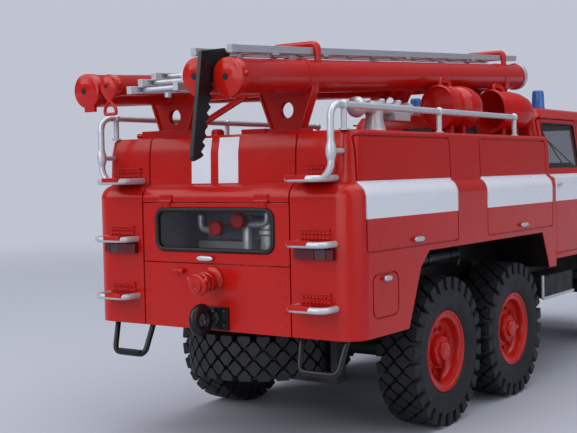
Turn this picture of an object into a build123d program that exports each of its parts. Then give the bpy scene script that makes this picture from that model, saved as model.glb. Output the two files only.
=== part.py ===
"""Display scale model of a six-wheel fire tanker, about 1:43.

Millimetres. +X forward, +Y to the truck's left, +Z up.
Origin on the ground, at the centre of the overall box.
"""
import os
from math import cos, pi, radians, sin, tan

from build123d import *

os.makedirs("parts", exist_ok=True)

# Axles along the truck
TANDEM = 29.07
WHEELBASE = 77.9
FRONT_REACH = 25.0
REAR_REACH = 49.0
LENGTH = REAR_REACH + TANDEM + WHEELBASE + FRONT_REACH
X_REAR = REAR_REACH - LENGTH / 2
X_MID = X_REAR + TANDEM
X_FRONT = X_MID + WHEELBASE

# Wheels
TYRE_R = 13.05
TYRE_W = 7.4
TREAD_R = 12.2
TREAD_HALF = 3.0
WALL_R = 9.8
FACETS = 16
LUG_W = 2.0
LUG_OFF = 1.15
LUG_INNER = 0.35
LUG_EDGE = 0.2
LUG_ROOT = 0.4
BEAD_R = 6.7
BEAD_T = 0.8
BEAD_W = 5.4
LIP_R = 7.06
LIP_T = 0.4
RIM_T = 0.7
DISC_Y = 0.3
DISC_T = 0.9
HUB_R = 2.6
CAP_R = 1.7
CAP_Y = 3.0
TRACK = 42.4
PIN_R = 0.9
PIN_INTO_HUB = 2.0
RUNNING_GAP = 0.05

# Spare wheel under the tail
SPARE_IN = 12.1
SPARE_Z = 15.0
CRADLE_HALF = 15.2
CRADLE_W = 3.0
CRADLE_T = 1.2

# Axle cases and springs
CASE_R = 1.9
CASE_HALF = 16.0
DRUM_R = 4.9
DRUM_T = 3.8
DIFF_R = 4.2
SPRING_W = 2.4
SPRING_T = 2.2
REAR_SPRING_Y = 12.8
FRONT_SPRING_HALF = 13.0

# Frame rails
FRAME_HALF = 9.8
RAIL_W = 1.6
RAIL_Z0 = 17.4
FRAME_TOP = 21.8
FRAME_TAIL = 32.0
FRAME_NOSE = 22.4
TAIL_RAIL_Z0 = 19.3
TAIL_RAMP = 3.0
SPARE_ROOM = 1.0
CROSS_T = 1.6
CROSS_DROP = 0.8
CROSS_AT = (14.5, 40.0, 62.0, 86.0, 122.0)
TAIL_CROSS_AT = (-29.0, -9.0)

# Tank body
BODY_TAIL = 33.5
BODY_NOSE = 46.0
BODY_HALF = 26.7
BODY_Z0 = 19.5
SHOULDER_Z = 43.0
SHOULDER_R = 2.5
CORNER_R = 3.6
SEAM_W = 0.3
SEAM_D = 0.3
ARCH_TOP = 31.4
ARCH_IN = 15.5
ARCH_REAR = 13.5
ARCH_REAR_FOOT = 17.8
ARCH_NOSE = 38.6
ARCH_NOSE_FOOT = 42.3
ARCH_ROUND = 3.0
PILLAR_Z0 = 24.0
BODY_TOP = 50.8
BAY_DEPTH = 16.0
BAY_HALF = 14.2
BAY_Z0 = 23.2
BAY_TOP = 41.0

# Rear flap with its window
FLAP_HALF = 15.0
FLAP_Z0 = 30.1
FLAP_Z1 = 40.1
FLAP_T = 1.2
FLAP_GAP = 0.12
WINDOW_HALF = 12.2
WINDOW_Z0 = 32.0
WINDOW_Z1 = 39.2
WINDOW_ROUND = 1.8
GASKET_W = 0.7
GASKET_PROUD = 0.25
PANE_T = 0.5

# Crew cab
CAB_GAP = 0.3
CAB_NOSE = 10.0
CAB_HALF = 26.2
CAB_Z0 = 25.4
CAB_TOP = 57.3
BELT_Z = 43.4
BELT_HALF = 24.4
ROOF_HALF = 22.6
CAB_WALL = 0.9
SCREEN_LEAN = 4.5
GLASS_SET = 0.25
GLASS_T = 0.4
FLOOR_T = 1.0

# Bonnet, wings and nose
BONNET_REAR_HALF = 15.5
BONNET_NOSE_HALF = 12.8
BONNET_REAR_Z = 43.0
BONNET_NOSE_Z = 40.0
BONNET_Z0 = 24.0
BONNET_ROUND = 3.5
BONNET_NOSE = 18.5
WING_HALF = 27.3
WING_TOP = 34.0
WING_DROP = 1.6
WING_ARCH_R = 15.8
WING_Z0 = 22.0
GRILLE_T = 0.9
GRILLE_HALF = 11.6
GRILLE_Z1 = 37.0
GRILLE_SLOTS = 10
LAMP_Y = 19.0
LAMP_Z = 28.6
LAMP_R = 2.7
LAMP_PROUD = 0.9
BUMPER_HALF = 26.0
BUMPER_Z0 = 15.2
BUMPER_Z1 = 19.8

# Roof gear, all lying along one rising line
RISE = 3.5
HOOK_STAND = 5.3
GEAR_TAIL = REAR_REACH - HOOK_STAND
GEAR_Z = 58.6
GEAR_LENGTH = 104.0
LID_T = 0.5
GEAR_NOSE = GEAR_LENGTH - GEAR_TAIL
BRACKET_X = (-25.5, GEAR_NOSE - 10.8)
BRACKET_T = 1.0
BRACKET_HOLE_R = 1.3
BEAM_T = 1.4
HOOP_X = (-22.3, GEAR_NOSE - 9.3)
HOOP_R = 0.55
HOOP_RISE = 1.1
HOOP_HALF = 4.35

# Rails, steps and small wire work
RAIL_R = 0.6
HANDRAIL_Y = BODY_HALF - 3.4
HANDRAIL_Z = 54.5
POST_X = (-30.7, 0.3, 32.8)
STEP_IN = 16.4
STEP_OUT = BODY_HALF - 3.4
STEP_DEEP = 2.8
STEP_T = 0.6
STEP_RIM_R = 0.55
STEP_RIM_GAP = 0.02
STEP_BEND = 2.0
WIRE_R = 0.5


def span(x0, x1, y0, y1, z0, z1):
    """Box between two values on each axis."""
    return Pos((x0 + x1) / 2, (y0 + y1) / 2, (z0 + z1) / 2) * Box(x1 - x0, y1 - y0, z1 - z0)


def both(shape):
    """A shape and its mirror image on the truck's other side."""
    return [shape, mirror(shape, about=Plane.XZ)]


def rod(start, end, r):
    """Round bar between two points."""
    start = Vector(*start)
    run = Vector(*end) - start
    return Solid.make_cylinder(r, run.length, Plane(origin=start, z_dir=run))


def bent_rod(points, bend, r):
    """Round bar along straight runs joined by equal bends."""
    path = FilletPolyline(*points, radius=bend)
    return sweep(Plane(origin=path @ 0, z_dir=path % 0) * Circle(r), path=path)


def turned(points):
    """Solid of revolution about Y from (radius, y) points."""
    return revolve(make_face(Polyline(*points, close=True)), Axis.Y)


def side_prism(points, y0, y1):
    """Prism from (x, z) points between two values of Y."""
    face = make_face(Polyline(*[(x, 0, z) for x, z in points], close=True))
    return Pos(0, y0, 0) * extrude(face, amount=y1 - y0, dir=(0, 1, 0))


def faceted_ring(profile, sides):
    """Ring of flat facets about Y from a closed profile of (radius to the flats, y)."""
    spread = 1 / cos(pi / sides)
    faces = []
    for i in range(sides):
        low = 2 * pi * (i - 0.5) / sides
        high = 2 * pi * (i + 0.5) / sides
        for (r0, y0), (r1, y1) in zip(profile, profile[1:] + profile[:1]):
            corners = [(spread * r * sin(turn), y, spread * r * cos(turn))
                       for r, y, turn in ((r0, y0, low), (r0, y0, high), (r1, y1, high), (r1, y1, low))]
            faces.append(Face(Wire.make_polygon(corners, close=True)))
    return Solid(Shell(faces))


def group(shapes):
    """Separate solids kept together as one piece."""
    solids = []
    for shape in shapes:
        solids.extend(shape.solids())
    return Compound(children=solids)


def fuse(shapes):
    """One solid from touching shapes."""
    whole = Part() + shapes[0]
    for shape in shapes[1:]:
        whole += shape
    return whole


nodes = {}

# Wheel sets: pin, two rims, two tyres on each axle
AXLES = {"front": X_FRONT, "middle": X_MID, "rear": X_REAR}
HALF_BEAD = BEAD_W / 2
HALF_TYRE = TYRE_W / 2
side_wall = [(BEAD_R, HALF_BEAD), (BEAD_R + BEAD_T, HALF_BEAD), (WALL_R, HALF_TYRE), (TREAD_R, TREAD_HALF)]
carcass = faceted_ring(side_wall + [(r, -y) for r, y in reversed(side_wall)], FACETS)
lug = span(LUG_OFF - LUG_W / 2, LUG_OFF + LUG_W / 2, LUG_INNER, TREAD_HALF - LUG_EDGE, TREAD_R - LUG_ROOT, TYRE_R)
lugs = []
for i in range(FACETS):
    turn = Rot(0, 360 * i / FACETS, 0)
    lugs.append(turn * lug)
    lugs.append(turn * Rot(0, 0, 180) * lug)
tyre = carcass.fuse(*lugs)
RIM_IN = BEAD_R - RIM_T
rim = turned([
    (PIN_R, -0.8), (HUB_R, -0.8), (HUB_R, DISC_Y), (RIM_IN, DISC_Y), (RIM_IN, -HALF_BEAD),
    (BEAD_R, -HALF_BEAD), (BEAD_R, HALF_BEAD), (LIP_R, HALF_BEAD), (LIP_R, HALF_BEAD + LIP_T),
    (BEAD_R - 0.2, HALF_BEAD + LIP_T), (RIM_IN, DISC_Y + DISC_T + 0.5), (RIM_IN - 0.6, DISC_Y + DISC_T),
    (HUB_R + 0.3, DISC_Y + DISC_T), (HUB_R, 2.3), (CAP_R, 2.3), (CAP_R - 0.2, CAP_Y), (0, CAP_Y),
    (0, PIN_INTO_HUB), (PIN_R, PIN_INTO_HUB)])
for name, x in AXLES.items():
    place = Pos(x, TRACK / 2, TYRE_R)
    reach = TRACK / 2 + PIN_INTO_HUB
    nodes[name + "_axle_pin"] = rod((x, -reach, TYRE_R), (x, reach, TYRE_R), PIN_R)
    nodes[name + "_rims"] = group(both(place * rim))
    nodes[name + "_tyres"] = group(both(place * tyre))

# Spare wheel lying flat under the tail, in a cradle that hangs from the body
SPARE_X = X_REAR - FRAME_TAIL + SPARE_IN
flat = Pos(SPARE_X, 0, SPARE_Z) * Rot(-90, 0, 0)
nodes["spare_tyre"] = flat * tyre
nodes["spare_rim"] = flat * rim
CRADLE_Z1 = SPARE_Z - HALF_TYRE
CRADLE_Z0 = CRADLE_Z1 - CRADLE_T
cradle_x = (SPARE_X - CRADLE_W / 2, SPARE_X + CRADLE_W / 2)
cradle = [span(*cradle_x, -CRADLE_HALF, CRADLE_HALF, CRADLE_Z0, CRADLE_Z1)]
cradle.extend(both(span(*cradle_x, CRADLE_HALF - CRADLE_T, CRADLE_HALF, CRADLE_Z0, FRAME_TOP)))
nodes["spare_cradle"] = fuse(cradle)

# Axle cases with brake drums, bored for the pins
case_end = CASE_HALF + DRUM_T
case = turned([
    (PIN_R + RUNNING_GAP, 0), (CASE_R, 0), (CASE_R, CASE_HALF), (DRUM_R, CASE_HALF),
    (DRUM_R, case_end), (PIN_R + RUNNING_GAP, case_end)])
pin_hole = rod((0, -case_end, 0), (0, case_end, 0), PIN_R + RUNNING_GAP)
whole_case = fuse([Sphere(DIFF_R) - pin_hole] + both(case))
nodes["axle_cases"] = group([Pos(x, 0, TYRE_R) * whole_case for x in AXLES.values()])

# Leaf springs: a pack between the tandem axles and one over each end of the front axle
RAIL_IN = FRAME_HALF - RAIL_W / 2
RAIL_OUT = FRAME_HALF + RAIL_W / 2
PACK_Z = TYRE_R + CASE_R
TANDEM_MID = (X_REAR + X_MID) / 2
rear_pack = side_prism([
    (X_REAR - 2, PACK_Z), (X_MID + 2, PACK_Z), (X_MID + 2, PACK_Z + 0.8), (TANDEM_MID + 4, PACK_Z + SPRING_T),
    (TANDEM_MID - 4, PACK_Z + SPRING_T), (X_REAR - 2, PACK_Z + 0.8)],
    REAR_SPRING_Y - SPRING_W / 2, REAR_SPRING_Y + SPRING_W / 2)
trunnion = span(TANDEM_MID - 3, TANDEM_MID + 3, RAIL_OUT, REAR_SPRING_Y + SPRING_W / 2,
                PACK_Z + SPRING_T, FRAME_TOP)
front_pack = side_prism([
    (X_FRONT - 4, PACK_Z), (X_FRONT + 4, PACK_Z), (X_FRONT + FRONT_SPRING_HALF, RAIL_Z0 - 0.7),
    (X_FRONT + FRONT_SPRING_HALF, RAIL_Z0), (X_FRONT - FRONT_SPRING_HALF, RAIL_Z0),
    (X_FRONT - FRONT_SPRING_HALF, RAIL_Z0 - 0.7)],
    FRAME_HALF - SPRING_W / 2, FRAME_HALF + SPRING_W / 2)
nodes["leaf_springs"] = group(both(rear_pack + trunnion) + both(front_pack))

# Frame rails, the crossmembers between them and the cab's bearers on them
RAMP_X = SPARE_X + TYRE_R + SPARE_ROOM
nodes["frame_rails"] = group(both(side_prism([
    (X_REAR - FRAME_TAIL, TAIL_RAIL_Z0), (RAMP_X, TAIL_RAIL_Z0), (RAMP_X + TAIL_RAMP, RAIL_Z0),
    (X_FRONT + FRAME_NOSE, RAIL_Z0), (X_FRONT + FRAME_NOSE, FRAME_TOP), (X_REAR - FRAME_TAIL, FRAME_TOP)],
    RAIL_IN, RAIL_OUT)))
CAB_X0 = X_REAR + BODY_NOSE + CAB_GAP
CAB_X1 = X_FRONT - CAB_NOSE
crossmembers = []
for places, z0 in ((CROSS_AT, RAIL_Z0 + CROSS_DROP), (TAIL_CROSS_AT, TAIL_RAIL_Z0)):
    for x in places:
        crossmembers.append(span(X_REAR + x - CROSS_T / 2, X_REAR + x + CROSS_T / 2, -RAIL_IN, RAIL_IN,
                                 z0, FRAME_TOP))
for x in (CAB_X0 + 5, CAB_X1 - 5):
    crossmembers.append(span(x - 1.5, x + 1.5, -RAIL_OUT, RAIL_OUT, FRAME_TOP, CAB_Z0))
nodes["crossmembers"] = group(crossmembers)

# Transfer box hung in the frame, with shafts to the axles
BOX_X = X_MID + 34
transfer_box = span(BOX_X - 6, BOX_X + 6, -RAIL_IN, RAIL_IN, RAIL_Z0 - 4, RAIL_Z0 + CROSS_DROP)
shafts = [
    rod((X_MID + DIFF_R - 0.3, 0, TYRE_R + 0.6), (BOX_X - 6, 0, RAIL_Z0 - 1.5), 0.8),
    rod((X_REAR + DIFF_R - 0.3, 0, TYRE_R), (X_MID - DIFF_R + 0.3, 0, TYRE_R), 0.8),
    rod((BOX_X + 6, 0, RAIL_Z0 - 1.5), (X_FRONT - DIFF_R + 0.3, 0, TYRE_R + 0.6), 0.8)]
shafts = [shaft - group([Pos(x, 0, TYRE_R) * Sphere(DIFF_R) for x in AXLES.values()]) for shaft in shafts]
nodes["driveline"] = group([transfer_box] + shafts)

# Tank body: a rounded lower box under a slimmer upper box with a creased rear panel
BODY_X0 = X_REAR - BODY_TAIL
BODY_X1 = X_REAR + BODY_NOSE
UPPER = [
    {"z": 40.0, "tail": 31.6, "half": BODY_HALF - 1.2},
    {"z": 48.0, "tail": 31.4, "half": BODY_HALF - 1.5},
    {"z": BODY_TOP - 0.4, "tail": 30.9, "half": BODY_HALF - 1.7},
    {"z": BODY_TOP, "tail": 30.5, "half": BODY_HALF - 2.1}]


def tail_plan(x0, half, r, z):
    """Outline of the body at one height, with its two rear corners rounded."""
    sketch = Pos((x0 + BODY_X1) / 2, 0) * Rectangle(BODY_X1 - x0, 2 * half)
    sketch = fillet(sketch.vertices().group_by(Axis.X)[0], r)
    return Pos(0, 0, z) * sketch


def body_form(inset):
    """Outside of the tank body, or a form set in from it."""
    lower = extrude(tail_plan(BODY_X0 + inset, BODY_HALF - inset, CORNER_R - inset, BODY_Z0),
                    amount=SHOULDER_Z - BODY_Z0 - inset)
    rim_edges = lower.faces().sort_by(Axis.Z)[-1].edges().sort_by(Axis.X)[:-1]
    lower = fillet(rim_edges, SHOULDER_R - inset)
    upper = loft([tail_plan(X_REAR - row["tail"] + inset, row["half"] - inset, 2.4, row["z"] - inset)
                  for row in UPPER], ruled=True)
    return lower + upper


def door_frame(x0, x1, z0, z1, r, y0, y1):
    """Narrow frame with rounded corners along a door's edge, running through the truck's side."""
    outer = span(x0, x1, y0, y1, z0, z1)
    inner = span(x0 + SEAM_W, x1 - SEAM_W, y0 - 1, y1 + 1, z0 + SEAM_W, z1 - SEAM_W)
    return fillet(outer.edges().filter_by(Axis.Y), r) - fillet(inner.edges().filter_by(Axis.Y), r - SEAM_W)


DOORS = [
    {"x0": -30.4, "x1": 0.4, "z0": 32.3, "z1": 50.0, "r": 0.6},
    {"x0": 12.2, "x1": 44.3, "z0": 32.3, "z1": 50.0, "r": 0.6},
    {"x0": -28.9, "x1": -20.9, "z0": 22.2, "z1": 29.1, "r": 1.5}]
seams = [door_frame(X_REAR + row["x0"], X_REAR + row["x1"], row["z0"], row["z1"], row["r"], FLAP_HALF + 1,
                    BODY_HALF + 1) for row in DOORS]
seams.append(span(BODY_X0 - 1, BODY_X0 + 6, FLAP_HALF - SEAM_W / 2, FLAP_HALF + SEAM_W / 2,
                  BODY_Z0 - 1, BODY_TOP + 1))
arch = side_prism([
    (X_REAR - ARCH_REAR_FOOT, BODY_Z0 - 0.1), (X_REAR - ARCH_REAR, ARCH_TOP - 2.5),
    (X_REAR - ARCH_REAR + ARCH_ROUND, ARCH_TOP), (X_REAR + ARCH_NOSE, ARCH_TOP),
    (X_REAR + ARCH_NOSE_FOOT, PILLAR_Z0), (BODY_X1 + 1, PILLAR_Z0), (BODY_X1 + 1, BODY_Z0 - 0.1)],
    ARCH_IN, BODY_HALF + 1)
tank_body = body_form(0)
seam_floor = body_form(SEAM_D)
for seam in seams:
    for cut in both(seam - seam_floor):
        tank_body -= cut
for cut in both(arch):
    tank_body -= cut
tank_body -= span(BODY_X0 + FLAP_T, BODY_X1 + 1, -ARCH_IN, ARCH_IN, BODY_Z0 - 1, FRAME_TOP)
tank_body -= span(BODY_X0 + FLAP_T, BODY_X0 + BAY_DEPTH, -BAY_HALF, BAY_HALF, BAY_Z0, BAY_TOP)
tank_body -= span(BODY_X0 - 1, BODY_X0 + FLAP_T, -FLAP_HALF, FLAP_HALF, FLAP_Z0, FLAP_Z1)
nodes["tank_body"] = tank_body


def rear_plate(half, z0, z1, r, x0, x1):
    """Upright plate across the truck with rounded corners."""
    sketch = Plane.YZ * Pos(0, (z0 + z1) / 2) * RectangleRounded(2 * half, z1 - z0, r)
    return Pos(x0, 0, 0) * extrude(sketch, amount=x1 - x0, dir=(1, 0, 0))


# Rear flap, its window rubber and its pane
FLAP_X1 = BODY_X0 + FLAP_T
flap = rear_plate(FLAP_HALF - FLAP_GAP, FLAP_Z0 + FLAP_GAP, FLAP_Z1 - FLAP_GAP, 0.3, BODY_X0, FLAP_X1)
window = rear_plate(WINDOW_HALF, WINDOW_Z0, WINDOW_Z1, WINDOW_ROUND, BODY_X0 - 1, FLAP_X1 + 1)
nodes["rear_flap"] = flap - window
pane = rear_plate(WINDOW_HALF - GASKET_W, WINDOW_Z0 + GASKET_W, WINDOW_Z1 - GASKET_W,
                  WINDOW_ROUND - GASKET_W, BODY_X0 - 1, FLAP_X1 + 1)
nodes["rear_window_rubber"] = rear_plate(WINDOW_HALF, WINDOW_Z0, WINDOW_Z1, WINDOW_ROUND,
                                         BODY_X0 - GASKET_PROUD, FLAP_X1) - pane
pane_x = BODY_X0 + FLAP_T / 2
nodes["rear_window_pane"] = pane & span(pane_x - PANE_T / 2, pane_x + PANE_T / 2, -40, 40, 0, 60)

# Pump in its bay, with its delivery pipes and red caps
BAY_BACK = BODY_X0 + BAY_DEPTH
pump_body = span(BAY_BACK - 5, BAY_BACK, -BAY_HALF + 2, BAY_HALF - 2, BAY_Z0, BAY_Z0 + 9.8)
pump_foot = span(BAY_BACK - 9, BAY_BACK - 5, -BAY_HALF / 2, BAY_HALF / 2, BAY_Z0, BAY_Z0 + 3.3)
pump_pipes = [
    rod((BAY_BACK - 7.5, -0.7, BAY_Z0), (BAY_BACK - 7.5, -0.7, BAY_Z0 + 14.8), 1.0),
    rod((BAY_BACK - 7.5, -5.0, BAY_Z0), (BAY_BACK - 7.5, -5.0, BAY_Z0 + 12.8), 1.4),
    rod((BAY_BACK - 7.5, -0.7, BAY_Z0 + 12.0), (BAY_BACK - 7.5, 9.0, BAY_Z0 + 12.0), 0.6)]
PUMP_CAPS = [
    {"y": 3.9, "z": BAY_Z0 + 12.3},
    {"y": -0.7, "z": BAY_Z0 + 13.6}]
CAP_X = BAY_BACK - 9.4
for row in PUMP_CAPS:
    pump_pipes.append(rod((CAP_X, row["y"], row["z"]), (BAY_BACK, row["y"], row["z"]), 0.7))
nodes["pump"] = fuse([pump_body, pump_foot] + pump_pipes)
nodes["pump_caps"] = group([rod((CAP_X - 1.0, row["y"], row["z"]), (CAP_X, row["y"], row["z"]), 1.25)
                            for row in PUMP_CAPS])

# Suction inlet with its ribbed cap, tilted down
inlet = Pos(BODY_X0, 0, 27.9) * Rot(0, -100, 0)
inlet_parts = [inlet * Pos(0, 0, 2.2) * Cylinder(1.3, 5.0)]
for z, r in ((2.0, 1.65), (2.9, 1.65), (4.0, 1.8)):
    inlet_parts.append(inlet * Pos(0, 0, z) * Cylinder(r, 0.5))
inlet_parts.append(inlet * Pos(0, 0, 4.5) * Cylinder(1.0, 0.6))
nodes["suction_inlet"] = fuse(inlet_parts) - span(BODY_X0, BODY_X0 + 6, -10, 10, 20, 40)

# Towing eye on its plate
EYE_X = BODY_X0 - 3.4
EYE_Z = 21.6
EYE_R = 2.6
EYE_W = 1.4
EYE_HOLE_R = 1.0
eye = Pos(EYE_X, 0, EYE_Z) * Rot(90, 0, 0) * Cylinder(EYE_R, EYE_W)
eye += rod((EYE_X + 1.4, 0, EYE_Z), (BODY_X0, 0, EYE_Z), 0.9)
eye += span(BODY_X0 - 0.5, BODY_X0, -3.0, 3.0, BODY_Z0 + 0.2, 23.4)
nodes["towing_eye"] = eye - Pos(EYE_X, 0, EYE_Z) * Rot(90, 0, 0) * Cylinder(EYE_HOLE_R, 10)

# Corner steps with their silver rims, and tail lamps under the middle pair
STEPS = [
    {"z": 43.3, "x": BODY_X0 + 1.9, "deep": STEP_DEEP + 1.9},
    {"z": 33.6, "x": BODY_X0, "deep": STEP_DEEP},
    {"z": 24.0, "x": BODY_X0, "deep": STEP_DEEP}]
treads = []
rims = []
for row in STEPS:
    front = row["x"] - row["deep"]
    tread = span(front, row["x"], STEP_IN, STEP_OUT, row["z"], row["z"] + STEP_T)
    tread = fillet(tread.edges().filter_by(Axis.Z).group_by(Axis.X)[0], STEP_BEND - STEP_RIM_R - STEP_RIM_GAP)
    bar_z = row["z"] + STEP_T / 2
    off = STEP_RIM_R + STEP_RIM_GAP
    bar = bent_rod([(row["x"], STEP_IN - off, bar_z), (front - off, STEP_IN - off, bar_z),
                    (front - off, STEP_OUT + off, bar_z), (row["x"] + 0.6, STEP_OUT + off, bar_z)], STEP_BEND,
                   STEP_RIM_R)
    treads.extend(both(tread - nodes["tank_body"]))
    rims.extend(both(bar - nodes["tank_body"]))
nodes["corner_steps"] = group(treads)
nodes["step_rims"] = group(rims)
nodes["tail_lamps"] = group(both(span(BODY_X0 - 1.0, BODY_X0, BODY_HALF - 10.5, BODY_HALF - 3.7, 31.4, 33.2)))

# Wire stirrups under the rear corners
STIRRUP_Z = BODY_Z0 - 5.3
stirrup = bent_rod([(BODY_X0 + 2.4, BODY_HALF - 11.4, BODY_Z0), (BODY_X0 + 0.5, BODY_HALF - 10.8, STIRRUP_Z),
                    (BODY_X0 + 0.5, BODY_HALF - 3.9, STIRRUP_Z), (BODY_X0 + 2.4, BODY_HALF - 3.1, BODY_Z0)],
                   1.0, WIRE_R)
nodes["stirrups"] = group(both(stirrup - nodes["tank_body"]))

# Roof handrails on ball-jointed posts
FOOT_Z = STEPS[0]["z"] + STEP_T
RAIL_X = BODY_X0 - 0.9
rail = bent_rod([(RAIL_X, HANDRAIL_Y, FOOT_Z), (RAIL_X, HANDRAIL_Y, HANDRAIL_Z),
                 (X_REAR + POST_X[-1], HANDRAIL_Y, HANDRAIL_Z)], 2.0, RAIL_R)
posts = [rail, Pos(RAIL_X, HANDRAIL_Y, 47.6) * Sphere(1.05),
         rod((RAIL_X, HANDRAIL_Y, 47.6), (BODY_X0 + 4.0, HANDRAIL_Y, 47.6), 0.45)]
for x in POST_X:
    posts.append(rod((X_REAR + x, HANDRAIL_Y, BODY_TOP - 0.4), (X_REAR + x, HANDRAIL_Y, HANDRAIL_Z), 0.45))
    posts.append(Pos(X_REAR + x, HANDRAIL_Y, HANDRAIL_Z) * Sphere(0.85))
handrail = fuse(posts)
nodes["handrails"] = group([side - nodes["tank_body"] - nodes["step_rims"] for side in both(handrail)])

# Door handles
HANDLES = [
    {"x": -14.7, "z": 33.6, "long": 3.4},
    {"x": 28.3, "z": 33.6, "long": 3.4},
    {"x": -25.0, "z": 28.2, "long": 2.2}]
handles = []
for row in HANDLES:
    x = X_REAR + row["x"]
    handles.extend(both(span(x - row["long"] / 2, x + row["long"] / 2, BODY_HALF, BODY_HALF + 0.7,
                             row["z"] - 0.35, row["z"] + 0.35)))
handles.append(span(BODY_X0 - 0.7, BODY_X0, -1.6, 1.6, 30.6, 31.3))
nodes["door_handles"] = group(handles)

# Roof gear frame: a plane that rises forward from the tail of the tubes
gear = Pos(X_REAR - GEAR_TAIL, 0, GEAR_Z) * Rot(0, -RISE, 0) * Pos(0, 0, -GEAR_Z)


def gear_z(x, z):
    """Height at x, counted from the rear axle, of a line that leaves the tail at height z."""
    return z + (x + GEAR_TAIL) * tan(radians(RISE))


TUBES = [
    {"y": -12.2, "z": 58.6, "r": 2.75, "lid": 3.0},
    {"y": -6.4, "z": 59.0, "r": 2.75, "lid": 3.0},
    {"y": 16.6, "z": 58.2, "r": 2.7, "lid": 2.95},
    {"y": 11.7, "z": 58.7, "r": 1.7, "lid": 2.0}]
tubes = []
lids = []
for row in TUBES:
    tail = gear * Pos(0, row["y"], row["z"]) * Rot(0, 90, 0)
    tubes.append(tail * Pos(0, 0, GEAR_LENGTH / 2) * Cylinder(row["r"], GEAR_LENGTH))
    lid = tail * Pos(0, 0, -LID_T / 2) * Cylinder(row["lid"], LID_T)
    lid += tail * Pos(row["lid"], 0, -LID_T / 2) * Box(1.6, 1.6, LID_T)
    lids.append(lid)
nodes["hose_tubes"] = group(tubes)
nodes["tube_lids"] = group(lids)

# Three-section ladder, stacked and stepped
LADDER_Y = 3.0
SECTIONS = [
    {"start": 0.0, "z": 57.8, "half": 5.2},
    {"start": 2.3, "z": 58.9, "half": 4.9},
    {"start": 5.2, "z": 59.9, "half": 4.6}]
LADDER_LENGTH = 96.0
STILE_W = 0.9
STILE_T = 1.1
RUNGS = 12
ladder = []
for row in SECTIONS:
    for side in (-1, 1):
        ladder.append(gear * Pos(row["start"] + LADDER_LENGTH / 2, LADDER_Y + side * (row["half"] - STILE_W / 2),
                                 row["z"]) * Box(LADDER_LENGTH, STILE_W, STILE_T))
    for i in range(RUNGS):
        x = row["start"] + (i + 0.5) * LADDER_LENGTH / RUNGS
        ladder.append(gear * Pos(x, LADDER_Y, row["z"]) * Rot(90, 0, 0) * Cylinder(0.35, 2 * row["half"] - STILE_W))
nodes["extension_ladder"] = fuse(ladder)

# Brackets under each pair of tubes, on the body roof and on the cab roof, joined by the ladder's rests
PAIRS = [
    {"y": -9.3, "top": 5.2, "foot": 2.8},
    {"y": 14.4, "top": 5.1, "foot": 2.8}]
brackets = []
for x in BRACKET_X:
    base = BODY_TOP if x < BODY_NOSE else CAB_TOP
    rest_z = gear_z(x, SECTIONS[0]["z"])
    pieces = [span(X_REAR + x, X_REAR + x + BRACKET_T, PAIRS[0]["y"] + PAIRS[0]["top"] - 0.5,
                   PAIRS[1]["y"] - PAIRS[1]["top"] + 0.5, rest_z - STILE_T - 0.8, rest_z)]
    for row in PAIRS:
        top = gear_z(x, 57.6)
        face = make_face(Polyline((row["y"] - row["foot"], base), (row["y"] + row["foot"], base),
                                  (row["y"] + row["top"], top - 1.2), (row["y"] + row["top"], top),
                                  (row["y"] - row["top"], top), (row["y"] - row["top"], top - 1.2), close=True))
        plate = Pos(X_REAR + x, 0, 0) * extrude(Plane.YZ * face, amount=BRACKET_T, dir=(1, 0, 0))
        hole = Pos(X_REAR + x, row["y"], base + 0.47 * (top - base)) * Rot(0, 90, 0) * Cylinder(BRACKET_HOLE_R, 4)
        foot = span(X_REAR + x - 1.2, X_REAR + x + BRACKET_T + 1.2, row["y"] - row["foot"] - 0.8,
                    row["y"] + row["foot"] + 0.8, base, base + 0.7)
        pieces.append(plate - hole + foot)
    if x < 0:
        pieces.append(span(X_REAR + x - 1.6, X_REAR + x + 2.2, PAIRS[0]["y"] + 3.3, PAIRS[0]["y"] + 8.0, base,
                           base + 0.9))
        pieces.append(span(X_REAR + x - 1.6, X_REAR + x + 2.2, PAIRS[1]["y"] - 5.0, PAIRS[1]["y"] + 6.2, base,
                           base + BEAM_T))
        pieces.append(rod((X_REAR + x, PAIRS[1]["y"] + 6.0, base + BEAM_T / 2),
                          (X_REAR + x, PAIRS[1]["y"] + 8.6, base + BEAM_T / 2), 0.45))
    brackets.append(fuse(pieces) - nodes["hose_tubes"] - nodes["extension_ladder"])
nodes["tube_brackets"] = group(brackets)

# Hook ladder over the right pair, with its toothed hook and red hoops
HOOK_Y = -9.0
HOOK_LADDER_Z = 62.6
HOOK_LADDER_HALF = 3.4
hook_ladder = []
for side in (-1, 1):
    hook_ladder.append(gear * Pos(GEAR_LENGTH / 2, HOOK_Y + side * HOOK_LADDER_HALF, HOOK_LADDER_Z)
                       * Box(GEAR_LENGTH - 1.2, STILE_W, STILE_T))
for i in range(RUNGS):
    x = 3.0 + i * (GEAR_LENGTH - 6) / (RUNGS - 1)
    hook_ladder.append(gear * Pos(x, HOOK_Y, HOOK_LADDER_Z) * Rot(90, 0, 0) * Cylinder(0.35, 2 * HOOK_LADDER_HALF))
nodes["hook_ladder"] = fuse(hook_ladder)
HOOK_T = 0.7
HOOK_TEETH = 8
HOOK_PITCH = 1.4
HOOK_DROP = 16.2
TIP_Z = HOOK_LADDER_Z - HOOK_DROP
blade = [(3.8, HOOK_LADDER_Z - 0.6), (3.8, HOOK_LADDER_Z + 0.5), (2.4, HOOK_LADDER_Z + 0.5),
         (-2.7, HOOK_LADDER_Z - 0.3), (-HOOK_STAND, TIP_Z + 0.5), (0.4 - HOOK_STAND, TIP_Z), (-3.4, TIP_Z + 0.5)]
for i in range(HOOK_TEETH):
    z = TIP_Z + 0.9 + i * HOOK_PITCH
    edge = 3.0 * (i / HOOK_TEETH - 1)
    blade.append((edge + 0.3, z))
    blade.append((edge - 0.3, z + 0.5))
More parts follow.
